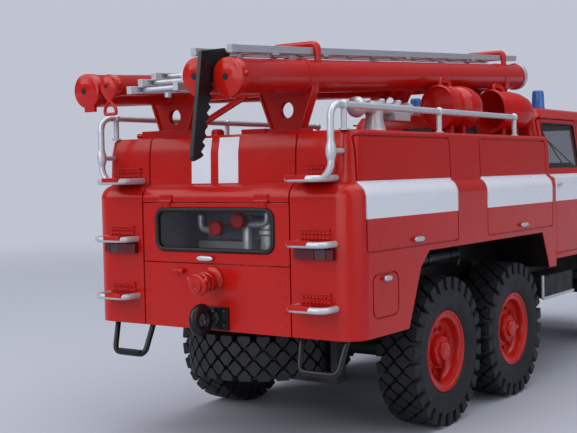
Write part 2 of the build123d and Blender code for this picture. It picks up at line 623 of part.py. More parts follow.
blade.extend([(0.4, HOOK_LADDER_Z - 4.0), (1.6, HOOK_LADDER_Z - 1.5)])
hook_plate = side_prism([(X_REAR - GEAR_TAIL + x, z) for x, z in blade], HOOK_Y - HOOK_T / 2, HOOK_Y + HOOK_T / 2)
nodes["ladder_hook"] = hook_plate - nodes["hook_ladder"] - nodes["hose_tubes"] - nodes["tube_lids"]
hoops = []
for x in HOOP_X:
    foot = gear_z(x, TUBES[0]["z"] + TUBES[0]["r"] - 0.6)
    top = gear_z(x, HOOK_LADDER_Z) + HOOP_RISE
    hoop = bent_rod([(X_REAR + x, HOOK_Y - HOOP_HALF, foot), (X_REAR + x, HOOK_Y - HOOP_HALF, top),
                     (X_REAR + x, HOOK_Y + HOOP_HALF, top), (X_REAR + x, HOOK_Y + HOOP_HALF, foot)], 1.0, HOOP_R)
    hoops.append(hoop - nodes["hose_tubes"] - nodes["hook_ladder"])
nodes["ladder_hoops"] = group(hoops)

# Foam generators lying askew on the body roof, on saddles
DRUM = 4.3
SADDLE = 0.7
GENERATORS = [
    {"x": 12.0, "inset": 10.2, "turn": 12},
    {"x": 34.8, "inset": 9.5, "turn": 20}]
drum = revolve(make_face(Polyline(
    (0, 0.6), (DRUM - 0.3, 0.6), (DRUM - 0.3, 0), (DRUM + 0.2, 0), (DRUM + 0.2, 0.7), (DRUM - 0.2, 0.9),
    (DRUM - 0.2, 6.0), (DRUM - 1.0, 9.5), (DRUM - 2.4, 11.0), (0, 11.0), close=True)), Axis.Y)
for y in (1.4, 5.0):
    drum += span(-2.2, 2.2, y, y + 0.9, -DRUM - 0.2 - SADDLE, -DRUM + 1.0)
generators = []
for row in GENERATORS:
    place = Pos(X_REAR + row["x"], row["inset"] - BODY_HALF, BODY_TOP + DRUM + 0.2 + SADDLE)
    generators.append(place * Rot(0, 0, -90 - row["turn"]) * drum)
nodes["foam_generators"] = group(generators)

# Water monitor folded on the body roof
MONITOR_X = X_REAR - 7.6
MONITOR_Y = 11.7 - BODY_HALF
BARREL_Z = BODY_TOP + 4.4
monitor = [
    Pos(MONITOR_X, MONITOR_Y, BODY_TOP + 1.7) * Cone(2.2, 1.4, 3.4),
    Pos(MONITOR_X, MONITOR_Y, BARREL_Z - 0.5) * Sphere(1.6),
    rod((MONITOR_X - 6.2, MONITOR_Y, BARREL_Z), (MONITOR_X + 12.0, MONITOR_Y, BARREL_Z), 1.0),
    rod((MONITOR_X - 6.9, MONITOR_Y, BARREL_Z), (MONITOR_X - 5.6, MONITOR_Y, BARREL_Z), 1.75),
    span(MONITOR_X + 5.0, MONITOR_X + 10.4, MONITOR_Y - 1.4, MONITOR_Y + 1.4, BARREL_Z - 2.0, BARREL_Z - 0.6)]
for x in (2.4, 8.2):
    monitor.append(Pos(MONITOR_X + x, MONITOR_Y, BARREL_Z + 1.1) * Cylinder(0.75, 1.0))
nodes["monitor"] = fuse(monitor)

# Cab: rounded outlines stacked from sill to roof, then hollowed
CAB_LEVELS = [
    {"z": CAB_Z0, "half": CAB_HALF, "tail": 0.0, "lean": 0.0, "r": 1.5},
    {"z": BELT_Z - 1.2, "half": CAB_HALF, "tail": 0.0, "lean": 0.0, "r": 1.5},
    {"z": BELT_Z, "half": BELT_HALF, "tail": 0.0, "lean": 0.3, "r": 2.2},
    {"z": CAB_TOP - 2.2, "half": ROOF_HALF, "tail": 0.0, "lean": SCREEN_LEAN, "r": 3.0},
    {"z": CAB_TOP - 0.6, "half": ROOF_HALF - 0.9, "tail": 0.7, "lean": SCREEN_LEAN + 1.1, "r": 3.0},
    {"z": CAB_TOP, "half": ROOF_HALF - 3.0, "tail": 2.8, "lean": SCREEN_LEAN + 3.2, "r": 3.0}]


def cab_form(inset):
    """Outside of the cab, or a form set in from it by a wall."""
    outlines = []
    for row in CAB_LEVELS:
        x0 = CAB_X0 + row["tail"] + inset
        x1 = CAB_X1 - row["lean"] - inset
        sketch = Pos((x0 + x1) / 2, 0) * RectangleRounded(x1 - x0, 2 * (row["half"] - inset), row["r"] - inset / 2)
        drop = inset if row["z"] > BELT_Z else 0
        outlines.append(Pos(0, 0, row["z"] - drop) * sketch)
    return loft(outlines, ruled=True)


cab_outer = cab_form(0)
cab_inner = cab_form(CAB_WALL)
SILL = BELT_Z + 1.0
HEAD = 53.8
PILLAR_X = (CAB_X0 + CAB_X1 - SCREEN_LEAN) / 2
SIDE_WINDOWS = [
    {"x0": CAB_X0 + 2.0, "x1": PILLAR_X - 2.2},
    {"x0": PILLAR_X + 1.8, "x1": CAB_X1 - SCREEN_LEAN - 2.6}]
cutters = []
for row in SIDE_WINDOWS:
    cutters.append(fillet(span(row["x0"], row["x1"], -40, 40, SILL, HEAD).edges().filter_by(Axis.Y), 0.9))
SCREEN_HALF = 20.4
screen = span(CAB_X1 - 8, CAB_X1 + 2, -SCREEN_HALF, SCREEN_HALF, SILL, HEAD)
cutters.append(fillet(screen.edges().filter_by(Axis.X), 1.4))
REAR_PANE_HALF = 9.0
cutters.append(span(CAB_X0 - 2, CAB_X0 + 3, -REAR_PANE_HALF, REAR_PANE_HALF, 51.6, HEAD))
cab = cab_outer - cab_inner
for cut in cutters:
    cab -= cut
CAB_DOORS = [
    {"x0": CAB_X0 + 0.8, "x1": PILLAR_X - 0.9},
    {"x0": PILLAR_X + 0.5, "x1": CAB_X1 - SCREEN_LEAN - 1.0}]
cab_seam_floor = cab_form(SEAM_D)
for row in CAB_DOORS:
    frame = door_frame(row["x0"], row["x1"], CAB_Z0 + 1.0, HEAD + 1.1, 0.9, ROOF_HALF - 4, CAB_HALF + 1)
    for cut in both(frame - cab_seam_floor):
        cab -= cut
nodes["cab_shell"] = cab
pane_skin = cab_form(GLASS_SET) - cab_form(GLASS_SET + GLASS_T)
nodes["cab_glass"] = group([pane_skin & cut for cut in cutters])

# Cab floor, benches, dash and steering wheel
IN_X0 = CAB_X0 + CAB_WALL
IN_X1 = CAB_X1 - CAB_WALL
FLOOR_Z = CAB_Z0 + FLOOR_T
inside = [span(CAB_X0, CAB_X1, -CAB_HALF, CAB_HALF, CAB_Z0, FLOOR_Z)]
for x in (IN_X0 + 1.0, PILLAR_X + 1.0):
    inside.append(span(x, x + 9.5, -20.5, 20.5, FLOOR_Z, FLOOR_Z + 8.0))
    inside.append(span(x, x + 2.2, -20.5, 20.5, FLOOR_Z, FLOOR_Z + 19.0))
inside.append(span(IN_X1 - 5.5, IN_X1, -20.5, 20.5, FLOOR_Z, BELT_Z - 0.6))
column = (IN_X1 - 5.5, 11.0, 40.0)
wheel_at = (IN_X1 - 9.0, 11.0, 42.6)
inside.append(rod(column, wheel_at, 0.5))
inside.append(Pos(*wheel_at) * Rot(0, -50, 0) * Torus(3.6, 0.4))
inside.append(Pos(*wheel_at) * Rot(0, -50, 0) * Box(0.7, 7.2, 0.5))
nodes["cab_interior"] = fuse(inside) & cab_inner

# Bonnet, from the cowl to the nose
def bonnet_end(x, half, z1):
    """Bonnet outline across the truck at one place along it."""
    sketch = Pos(0, (BONNET_Z0 + z1) / 2) * Rectangle(2 * half, z1 - BONNET_Z0)
    sketch = fillet(sketch.vertices().group_by(Axis.Y)[-1], BONNET_ROUND)
    return Pos(x, 0, 0) * (Plane.YZ * sketch)


NOSE_X = X_FRONT + BONNET_NOSE
bonnet = loft([bonnet_end(CAB_X1, BONNET_REAR_HALF, BONNET_REAR_Z),
               bonnet_end(NOSE_X, BONNET_NOSE_HALF, BONNET_NOSE_Z)], ruled=True)
nodes["bonnet"] = bonnet

# Front wings over the wheels
wing = side_prism([
    (CAB_X1, WING_Z0), (CAB_X1, WING_TOP), (X_FRONT + 12, WING_TOP), (NOSE_X - 1.2, WING_TOP - WING_DROP),
    (NOSE_X, WING_TOP - 4.0), (NOSE_X, WING_Z0)], 8.0, WING_HALF)
wing = fillet(wing.edges().filter_by(Axis.X).group_by(Axis.Y)[-1].sort_by(Axis.Z)[-1:], 2.2)
wing -= Pos(X_FRONT, 0, TYRE_R) * Rot(90, 0, 0) * Cylinder(WING_ARCH_R, 80)
wing -= bonnet
wing -= span(CAB_X1 - 1, NOSE_X + 1, 0, FRAME_HALF + 3.0, WING_Z0 - 1, BONNET_Z0)
wing = wing.solids().sort_by(SortBy.VOLUME)[-1]
nodes["front_wings"] = group(both(wing))

# Slotted grille, headlamps and bumper
grille = span(NOSE_X, NOSE_X + GRILLE_T, -GRILLE_HALF, GRILLE_HALF, BONNET_Z0 + 0.5, GRILLE_Z1)
pitch = 2 * GRILLE_HALF / (GRILLE_SLOTS + 1)
for i in range(GRILLE_SLOTS):
    y = -GRILLE_HALF + (i + 1) * pitch
    grille -= span(NOSE_X - 1, NOSE_X + 2, y - 0.55, y + 0.55, BONNET_Z0 + 1.8, GRILLE_Z1 - 1.3)
nodes["grille"] = grille
nodes["headlamps"] = group(both(rod((NOSE_X, LAMP_Y, LAMP_Z), (NOSE_X + LAMP_PROUD, LAMP_Y, LAMP_Z), LAMP_R)))
BUMPER_X1 = X_FRONT + FRONT_REACH
bumper = span(X_FRONT + FRAME_NOSE, BUMPER_X1, -BUMPER_HALF, BUMPER_HALF, BUMPER_Z0, BUMPER_Z1)
bumper = fillet(bumper.edges().filter_by(Axis.Z).group_by(Axis.X)[-1], 1.6)
nodes["bumper"] = bumper

# Beacons on the cab roof
BEACON_X = CAB_X0 + 18.5
BEACON_Y = ROOF_HALF - 7.0
BEACON_R = 1.55
BEACON_TALL = 4.6
beacon = Pos(BEACON_X, BEACON_Y, CAB_TOP) * extrude(Circle(BEACON_R), amount=BEACON_TALL, taper=3)
nodes["beacons"] = group(both(beacon))

# Mirrors on bent arms
arm = bent_rod([(CAB_X1 - 2.0, BELT_HALF - 1.2, 45.0), (CAB_X1 - 1.0, 28.6, 45.6), (CAB_X1 - 1.0, 28.6, 50.0)], 1.0, 0.35)
mirror_plate = span(CAB_X1 - 1.4, CAB_X1 - 0.4, 27.6, 31.0, 46.4, 52.0)
nodes["mirrors"] = group([side - nodes["cab_shell"] - nodes["cab_glass"] for side in both(arm + mirror_plate)])

# Box steps under the crew doors, on hangers from the frame
STEP_BOX_X0 = X_REAR + 42.6
STEP_BOX_X1 = X_REAR + 60.0
step_box = span(STEP_BOX_X0, STEP_BOX_X1, 19.0, 25.2, 17.4, 22.2)
hanger = span(STEP_BOX_X0 + 4, STEP_BOX_X0 + 6, RAIL_OUT, 19.0, 18.4, 20.4)
nodes["step_boxes"] = group(both(step_box + hanger))

# Air cylinder in the right wheel arch
nodes["air_cylinder"] = rod((X_REAR + 2.0, -ARCH_IN - 1.5, 28.4), (X_REAR + 18.0, -ARCH_IN - 1.5, 28.4), 1.5)

for name, shape in nodes.items():
    export_step(shape, "parts/" + name + ".step")
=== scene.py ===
import bmesh
import bpy
import numpy as np
from mathutils import Matrix


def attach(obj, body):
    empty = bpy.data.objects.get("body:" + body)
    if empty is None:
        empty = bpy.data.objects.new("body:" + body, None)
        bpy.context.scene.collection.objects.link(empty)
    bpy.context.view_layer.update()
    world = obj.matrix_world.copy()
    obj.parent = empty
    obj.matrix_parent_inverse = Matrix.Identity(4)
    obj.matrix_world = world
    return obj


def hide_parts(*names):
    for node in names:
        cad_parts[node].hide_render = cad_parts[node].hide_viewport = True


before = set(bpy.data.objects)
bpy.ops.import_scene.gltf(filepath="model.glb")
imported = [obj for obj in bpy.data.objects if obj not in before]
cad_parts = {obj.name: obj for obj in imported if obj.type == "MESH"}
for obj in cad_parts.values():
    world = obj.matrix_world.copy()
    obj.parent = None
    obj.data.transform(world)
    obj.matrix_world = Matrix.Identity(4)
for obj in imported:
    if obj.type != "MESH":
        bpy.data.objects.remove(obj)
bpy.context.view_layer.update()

# All sizes below are millimetres in the part's own frame; MM turns them into metres.
MM = 0.001
ALONG = (1, 0, 0)
REARWARD = (-1, 0, 0)
ASIDE = (0, 1, 0)
UP = (0, 0, 1)
# Axles along the truck, and the tail
REAR = -41.485
MIDDLE = -12.415
FRONT = 65.485
TAIL = -74.985
# Wheels
TYRE_R = 13.05
TRACK = 42.4
# Body, cab and nose
BODY_HALF = 26.7
BODY_TOP = 50.8
CAB_BACK = 4.815
CAB_FRONT = 55.485
CAB_TOP = 57.3
NOSE = 83.985
# Roof gear: how far its tail lies behind the rear axle, how high its tubes start, and its rise forward
GEAR_BACK = 43.7
GEAR_Z = 58.6
GEAR_RISE = np.radians(3.5)


# ---- Shapes -------------------------------------------------------------------------------------

def skin(points, wrap=False, caps=False):
    """Quads between neighbours of a grid: columns close round; rows close too if wrap, or end in caps."""
    rows, cols = points.shape[:2]
    row = np.arange(rows if wrap else rows - 1)[:, None]
    col = np.arange(cols)[None, :]
    ahead = (row + 1) % rows
    beside = (col + 1) % cols
    corners = (row * cols + col, row * cols + beside, ahead * cols + beside, ahead * cols + col)
    polygons = [np.stack(np.broadcast_arrays(*corners), -1).reshape(-1, 4)]
    if caps:
        polygons.append(np.stack([np.arange(cols)[::-1], np.arange(cols) + (rows - 1) * cols]))
    return points.reshape(-1, 3), polygons


def across(axis):
    """Two unit directions square to an axis and to each other, and the axis at unit length."""
    axis = np.asarray(axis, float) / np.linalg.norm(axis)
    first = np.cross(UP if abs(axis[2]) < 0.9 else ALONG, axis)
    first /= np.linalg.norm(first)
    return first, np.cross(axis, first), axis


def turned(profile, origin, axis, sides=40, wrap=False):
    """Surface of revolution: each (radius, height) of a profile is carried round the axis through origin."""
    profile = np.asarray(profile, float)
    first, second, axis = across(axis)
    angle = np.linspace(0, 2 * np.pi, sides, endpoint=False)[:, None]
    ring = np.cos(angle) * first + np.sin(angle) * second
    points = np.asarray(origin, float) + profile[:, 0, None, None] * ring + profile[:, 1, None, None] * axis
    return skin(points, wrap)


def circle(radius, sides=14):
    """Points evenly spaced round a circle, as (across, up)."""
    angle = np.linspace(0, 2 * np.pi, sides, endpoint=False)
    return radius * np.stack([np.cos(angle), np.sin(angle)], 1)


def soft_box(width, height, bend, steps=5):
    """Rectangle with quarter-circle corners, as (across, up), running round once."""
    angle = np.linspace(0, np.pi / 2, steps)
    quarter = np.arange(4)[:, None] * np.pi / 2 + angle
    centre = np.array([(1, 1), (-1, 1), (-1, -1), (1, -1)]) * (width / 2 - bend, height / 2 - bend)
    arc = bend * np.stack([np.cos(quarter), np.sin(quarter)], -1)
    return (centre[:, None, :] + arc).reshape(-1, 2)


def eased(points, bend, steps=6):
    """A run of points whose inner corners become short curves: each is a quadratic blend of its two sides."""
    points = np.asarray(points, float)
    share = np.linspace(0, 1, steps)[:, None]
    path = [points[:1]]
    for before, corner, after in zip(points, points[1:], points[2:]):
        start = corner + bend * (before - corner) / np.linalg.norm(before - corner)
        end = corner + bend * (after - corner) / np.linalg.norm(after - corner)
        path.append((1 - share) ** 2 * start + 2 * share * (1 - share) * corner + share ** 2 * end)
    path.append(points[-1:])
    return np.concatenate(path)


def swept(path, outline, up, wrap=False):
    """A closed outline carried along a path, square to it, with its second direction kept near up."""
    path = np.asarray(path, float)
    if wrap:
        along = np.roll(path, -1, 0) - np.roll(path, 1, 0)
    else:
        along = np.gradient(path, axis=0)
    along = along / np.linalg.norm(along, axis=1, keepdims=True)
    side = np.cross(along, np.asarray(up, float))
    side = side / np.linalg.norm(side, axis=1, keepdims=True)
    over = np.cross(side, along)
    outline = np.asarray(outline, float)
    points = path[:, None] + outline[None, :, :1] * side[:, None] + outline[None, :, 1:] * over[:, None]
    return skin(points, wrap, caps=not wrap)


def prisms(base, top):
    """Many separate blocks at once: block n runs straight from base outline n to top outline n."""
    count, corners = base.shape[:2]
    here = np.arange(corners)
    beside = (here + 1) % corners
    start = np.arange(count)[:, None, None] * 2 * corners
    sides = start + np.stack([here, beside, corners + beside, corners + here], 1)[None]
    ends = np.concatenate([start[:, 0] + here[::-1], start[:, 0] + corners + here])
    return np.stack([base, top], 1).reshape(-1, 3), [sides.reshape(-1, 4), ends]


def plate(outline, offset):
    """A flat outline of points pushed straight along one offset."""
    outline = np.asarray(outline, float)
    return prisms(outline[None], outline[None] + np.asarray(offset, float))


def bar(x0, x1, y0, y1, z0, z1):
    """Straight-sided bar between two values on each axis."""
    return plate([(x0, y0, z0), (x1, y0, z0), (x1, y1, z0), (x0, y1, z0)], (0, 0, z1 - z0))


def domes(centres, axis, radius, height, sides=10):
    """Round rivet heads: one small dome of four rings, set down at each centre."""
    first, second, axis = across(axis)
    angle = np.linspace(0, 2 * np.pi, sides, endpoint=False)[:, None]
    ring = np.cos(angle) * first + np.sin(angle) * second
    rise = np.array([(1.0, -0.2), (0.96, 0.35), (0.62, 0.84), (0.01, 1.0)])
    head = radius * rise[:, 0, None, None] * ring + height * rise[:, 1, None, None] * axis
    centres = np.atleast_2d(np.asarray(centres, float))
    points = centres[:, None, None] + head[None]
    polygons = skin(head)[1][0]
    start = np.arange(len(centres))[:, None, None] * head.shape[0] * sides
    quads = (start + polygons[None]).reshape(-1, 4)
    floors = start[:, 0] + np.arange(sides)[::-1]
    return points.reshape(-1, 3), [quads, floors, floors[:, ::-1] + 3 * sides]


def mirrored(parts):
    """The same parts and their mirror images on the truck's other side."""
    return parts + [(points * (1, -1, 1), polygons) for points, polygons in parts]


def on_gear(points):
    """Roof-gear coordinates, turned about the tail of the tubes by their rise, as truck coordinates."""
    x, y, z = np.moveaxis(np.asarray(points, float), -1, 0)
    c, s = np.cos(GEAR_RISE), np.sin(GEAR_RISE)
    height = z - GEAR_Z
    return np.stack([REAR - GEAR_BACK + x * c - height * s, y, GEAR_Z + x * s + height * c], -1)


def geared(parts):
    """Parts worked out in roof-gear coordinates, set on the truck."""
    return [(on_gear(points), polygons) for points, polygons in parts]


def dress(mesh, name, finish, body, stands_for, bevel, sharp):
    """One named object from a mesh: smooth faces, edges sharper than an angle kept, thin edges softened."""
    mesh.shade_smooth()
    mesh.set_sharp_from_angle(angle=np.radians(sharp))
    mesh.materials.clear()
    mesh.materials.append(finish)
    thing = bpy.data.objects.new(name, mesh)
    bpy.context.scene.collection.objects.link(thing)
    if bevel:
        soft = thing.modifiers.new("softened_edges", "BEVEL")
        soft.width = bevel * MM
        soft.segments = 2
        soft.limit_method = "ANGLE"
        soft.angle_limit = np.radians(sharp)
        soft.harden_normals = True
    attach(thing, body)
    if stands_for:
        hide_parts(*stands_for)
    return thing


def piece(name, parts, finish, body="truck", stands_for=(), bevel=0.0, sharp=38):
    """Joins worked-out surfaces into one piece, closes their seams and turns their faces outwards."""
    start = 0
    faces = []
    for points, polygons in parts:
        for group in polygons:
            faces.extend((group + start).tolist())
        start += len(points)
    mesh = bpy.data.meshes.new(name)
    mesh.from_pydata((np.concatenate([points for points, _ in parts]) * MM).tolist(), [], faces)
    form = bmesh.new()
    form.from_mesh(mesh)
    bmesh.ops.remove_doubles(form, verts=form.verts, dist=5e-7)
    bmesh.ops.recalc_face_normals(form, faces=form.faces)
    form.to_mesh(mesh)
    form.free()
    return dress(mesh, name, finish, body, stands_for, bevel, sharp)


def smoothed(node, finish, slot, bevel=0.1, sharp=38):
    """A CAD node's own faces, merged into one skin of flat panels and smooth bends with softened edges."""
    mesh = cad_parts[node].data.copy()
    form = bmesh.new()
    form.from_mesh(mesh)
    bmesh.ops.remove_doubles(form, verts=form.verts, dist=2e-6)
    bmesh.ops.dissolve_limit(form, angle_limit=np.radians(0.4), verts=form.verts, edges=form.edges)
    form.to_mesh(mesh)
    form.free()
    mesh.name = node + "_skin"
    thing = dress(mesh, node + "_skin", finish, "truck", (node,), bevel, sharp)
    # Large faces set the shading of the corners that they share with narrow bends, so flat panels look flat.
    thing.modifiers.new("flat_panels", "WEIGHTED_NORMAL").keep_sharp = True
    return thing


# ---- Finishes -----------------------------------------------------------------------------------

def tint(code):
    """An sRGB hex colour as linear red, green, blue and alpha."""
    value = np.array([int(code[i:i + 2], 16) for i in (1, 3, 5)]) / 255
    linear = np.where(value <= 0.04045, value / 12.92, ((value + 0.055) / 1.055) ** 2.4)
    return (*linear.tolist(), 1.0)


def add(tree, kind, inputs=None, **settings):
    """Adds one shader node: settings are its properties; inputs give each socket a value or what feeds it."""
    node = tree.nodes.new("ShaderNode" + kind)
    for key, value in settings.items():
        setattr(node, key, value)
    for key, value in (inputs or {}).items():
        if isinstance(value, bpy.types.NodeSocket):
            tree.links.new(value, node.inputs[key])
        else:
            node.inputs[key].default_value = value
    return node


def per_mm(size):
    """Texture scale, in repeats per metre, of a pattern of this size in millimetres."""
    return 1000.0 / size


def blank(name):
    """An empty material with its tree, its surface shader and the piece's own coordinates."""
    material = bpy.data.materials.new(name)
    material.use_nodes = True
    tree = material.node_tree
    tree.nodes.clear()
    shader = add(tree, "BsdfPrincipled")
    out = add(tree, "OutputMaterial", {"Surface": shader.outputs[0]})
    out.target = "ALL"
    return material, tree, shader, add(tree, "TexCoord").outputs["Object"]


def mottled(tree, place, size, low, high, detail=3.0):
    """Colour that drifts between two tints over patches of a size in millimetres."""
    cloud = add(tree, "TexNoise", {"Vector": place, "Scale": per_mm(size), "Detail": detail})
    return add(tree, "Mix", {0: cloud.outputs[0], 6: tint(low), 7: tint(high)}, data_type="RGBA").outputs[2]


def uneven(tree, place, size, low, high):
    """A number that drifts between two values over patches of a size in millimetres."""
    cloud = add(tree, "TexNoise", {"Vector": place, "Scale": per_mm(size), "Detail": 2.0})
    return add(tree, "MapRange", {"Value": cloud.outputs[0], 1: 0.3, 2: 0.7, 3: low, 4: high},
               interpolation_type="SMOOTHSTEP").outputs[0]


def grained(tree, place, size, depth, strength):
    """Surface relief of grains of a size, with a depth in millimetres."""
    grain = add(tree, "TexNoise", {"Vector": place, "Scale": per_mm(size), "Detail": 2.0})
    relief = {"Height": grain.outputs[0], "Distance": depth * MM, "Strength": strength}
    return add(tree, "Bump", relief).outputs[0]


def inside(tree, place, x, y, z):
    """One inside a box given by a range on each axis, alike on both sides of the truck; nought outside."""
    split = add(tree, "SeparateXYZ", {0: place})
    mirror = add(tree, "Math", {0: split.outputs[1]}, operation="ABSOLUTE").outputs[0]
    total = None
    for value, (low, high) in ((split.outputs[0], x), (mirror, y), (split.outputs[2], z)):
        middle, reach = (low + high) / 2 * MM, (high - low) / 2 * MM
        hit = add(tree, "Math", {0: value, 1: middle, 2: reach}, operation="COMPARE")
        if total:
            hit = add(tree, "Math", {0: total, 1: hit.outputs[0]}, operation="MULTIPLY")
        total = hit.outputs[0]
    return total


def painted_over(tree, below, mask, code):
    """A colour laid over another where a mask is one."""
    return add(tree, "Mix", {0: mask, 6: below, 7: tint(code)}, data_type="RGBA").outputs[2]


def enamel(name, low, high, areas=()):
    """Sprayed gloss enamel on a cast body: an even colour that drifts a little, soft gloss, orange peel."""
    material, tree, shader, place = blank(name)
    colour = mottled(tree, place, 9.0, low, high)
    for x, y, z, code in areas:
        colour = painted_over(tree, colour, inside(tree, place, x, y, z), code)
    tree.links.new(colour, shader.inputs["Base Color"])
    tree.links.new(uneven(tree, place, 6.0, 0.24, 0.29), shader.inputs["Roughness"])
    # Real peel is about 0.3 mm across; 0.9 mm shows at this size.
    tree.links.new(grained(tree, place, 0.9, 0.006, 0.2), shader.inputs["Normal"])
    shader.inputs["IOR"].default_value = 1.5
    shader.inputs["Specular IOR Level"].default_value = 0.24
    shader.inputs["Coat Weight"].default_value = 0.18
    shader.inputs["Coat Roughness"].default_value = 0.13
    return material


def moulded(name, low, high, gloss, grain, relief):
    """Moulded styrene or rubber: its own colour right through, and a fine grain that breaks the gloss."""
    material, tree, shader, place = blank(name)
    tree.links.new(mottled(tree, place, 3.5, low, high), shader.inputs["Base Color"])
    tree.links.new(uneven(tree, place, 2.5, gloss - 0.05, gloss + 0.08), shader.inputs["Roughness"])
    tree.links.new(grained(tree, place, grain, relief, 0.4), shader.inputs["Normal"])
    shader.inputs["IOR"].default_value = 1.53
    shader.inputs["Specular IOR Level"].default_value = 0.35
    return material


def metal_paint(name, low, high, metal, gloss):
    """Aluminium paint: fine flakes in a clear binder, so it is pale, half metallic and a little streaky."""
    material, tree, shader, place = blank(name)
    tree.links.new(mottled(tree, place, 0.35, low, high, 1.0), shader.inputs["Base Color"])
    tree.links.new(uneven(tree, place, 1.2, gloss - 0.06, gloss + 0.08), shader.inputs["Roughness"])
    tree.links.new(grained(tree, place, 0.4, 0.004, 0.4), shader.inputs["Normal"])
    shader.inputs["Metallic"].default_value = metal
    return material


def clear_styrene(name, code, cover, gloss):
    """Thin clear styrene: mostly see-through, with a hard reflection and faint moulding flow."""
    material, tree, shader, place = blank(name)
    shader.inputs["Base Color"].default_value = tint(code)
    shader.inputs["Roughness"].default_value = gloss
    shader.inputs["IOR"].default_value = 1.59
    shader.inputs["Alpha"].default_value = cover
    tree.links.new(grained(tree, place, 5.0, 0.02, 0.25), shader.inputs["Normal"])
    return material


def lens(name, code, code_deep, rib):
    """Tinted lens plastic with moulded ribs: light goes in and comes back coloured."""
    material, tree, shader, place = blank(name)
    tree.links.new(mottled(tree, place, 1.6, code_deep, code), shader.inputs["Base Color"])
    ribs = add(tree, "TexWave", {"Vector": place, "Scale": per_mm(rib) / 6.283, "Distortion": 0.0},
               bands_direction="Y")
    relief = add(tree, "Bump", {"Height": ribs.outputs[1], "Distance": 0.05 * MM, "Strength": 0.5})
    tree.links.new(relief.outputs[0], shader.inputs["Normal"])
    shader.inputs["Roughness"].default_value = 0.16
    shader.inputs["Transmission Weight"].default_value = 0.25
    shader.inputs["IOR"].default_value = 1.49
    return material


WHITE = "#D9DCE6"
# Near-black painted shade for the insides of the arches, where shadow falls under the body
PAINTED_SHADE = "#1A1516"
BAY = "#A6A9B2"
# Ranges in x, distance from the middle and z: white bands on the doors, painted shade under the arches, grey
# pump bay
BODY_AREAS = [
    ((REAR - 30.4, REAR + 0.4), (24.76, 27.5), (37.4, 43.05), WHITE),
    ((REAR + 12.2, REAR + 44.3), (24.76, 27.5), (37.4, 43.05), WHITE),
    ((-58.9, 6.0), (0.0, 26.55), (15.0, 31.45), PAINTED_SHADE),
    ((-73.7, -58.8), (0.0, 14.25), (20.0, 41.05), BAY)]
CAB_AREAS = [
    ((CAB_BACK + 0.9, 27.4), (23.0, 27.5), (37.4, 43.0), WHITE),
    ((29.0, CAB_FRONT - 1.6), (23.0, 27.5), (37.4, 43.0), WHITE)]
# Sprayed enamel on castings: a warm red with a soft, faintly rippled shine; two have bands, one painted
# shade.
FIRE_RED = ("#AC120C", "#B61710")
body_enamel = enamel("body_gloss_enamel", *FIRE_RED, BODY_AREAS)
cab_enamel = enamel("cab_gloss_enamel", *FIRE_RED, CAB_AREAS)
red_enamel = enamel("plain_gloss_enamel", *FIRE_RED)
# Moulded red styrene: the same red right through, smoother, with a sharper highlight
bright_red = moulded("bright_red_styrene", "#AE110C", "#B91711", 0.17, 0.8, 0.006)
# Printed decal film: an even white with a faint sheen
white_decal = moulded("white_decal_film", "#D3D6E0", "#DEE1EA", 0.34, 0.7, 0.003)
# Aluminium paint: a pale silver with soft, grainy highlights, and a thinner coat that looks duller
silver = metal_paint("aluminium_paint", "#B4B7BE", "#CDD0D7", 0.45, 0.36)
dull_silver = metal_paint("dull_grey_paint", "#A0A4AE", "#B4B8C2", 0.35, 0.4)
# Black styrene: deep and clear where it is polished, soft and dry where it is matt
black = moulded("gloss_black_styrene", "#08090B", "#101114", 0.3, 0.7, 0.005)
soft_black = moulded("matt_black_styrene", "#0E0F11", "#17181B", 0.55, 0.6, 0.01)
# Vulcanised rubber: a dry blue-black on the tyres, a dull sheen on the extruded window strips
rubber = moulded("tyre_rubber_dark", "#101115", "#191B20", 0.6, 0.5, 0.02)
seal = moulded("window_rubber_black", "#0B0C0D", "#151618", 0.42, 0.5, 0.008)
# Grey styrene as moulded: a plain half-matt grey
grey_styrene = moulded("grey_styrene", "#55585F", "#666A72", 0.48, 0.7, 0.01)
# Drawn steel: a bright bare metal
pin_steel = metal_paint("bright_pin_steel", "#8E9299", "#A6AAB2", 1.0, 0.3)
# Clear styrene: smoky in the cab, all but unseen in the rear pane, milky on the lamps
glazing = clear_styrene("clear_styrene_glazing", "#3A3E48", 0.34, 0.04)
clear_pane = clear_styrene("clear_pane_styrene", "#2A2430", 0.08, 0.03)
lamp_lens = clear_styrene("clear_lamp_styrene", "#D7DCE2", 0.6, 0.06)
# Ribbed lens styrene: a deep colour that the ribs break into bright and dark lines
blue_lens = lens("blue_beacon_styrene", "#4A8AD6", "#2A62B4", 0.9)
red_lens = lens("red_lamp_styrene", "#7A1022", "#4C0A18", 0.5)
smoke_lens = lens("smoke_lamp_styrene", "#66474E", "#4E363E", 0.5)

# ---- Painted body, cab and nose -----------------------------------------------------------------

RED = "gloss_red_paint"
BLACK = "black_plastic"
GREY = "grey_plastic"
# Nodes that keep their own faces: finish, slot and how far their edges are softened
SKINS = [
    ("tank_body", body_enamel, RED, 0.12),
    ("rear_flap", red_enamel, RED, 0.1),
    ("cab_shell", cab_enamel, RED, 0.1),
    ("bonnet", red_enamel, RED, 0.4),
    ("front_wings", red_enamel, RED, 0.25),
    ("tube_brackets", red_enamel, RED, 0.12),
    ("bumper", black, BLACK, 0.3),
    ("grille", grey_styrene, GREY, 0.12),
    ("mirrors", black, BLACK, 0.12),
    ("cab_interior", grey_styrene, GREY, 0.2),
    ("frame_rails", soft_black, BLACK, 0.15),
    ("crossmembers", soft_black, BLACK, 0.15),
    ("axle_cases", soft_black, BLACK, 0.1),
    ("leaf_springs", soft_black, BLACK, 0.15),
    ("driveline", soft_black, BLACK, 0.15),
    ("air_cylinder", black, BLACK, 0.2),
    ("spare_cradle", soft_black, BLACK, 0.15)]
for row in SKINS:
    smoothed(*row)
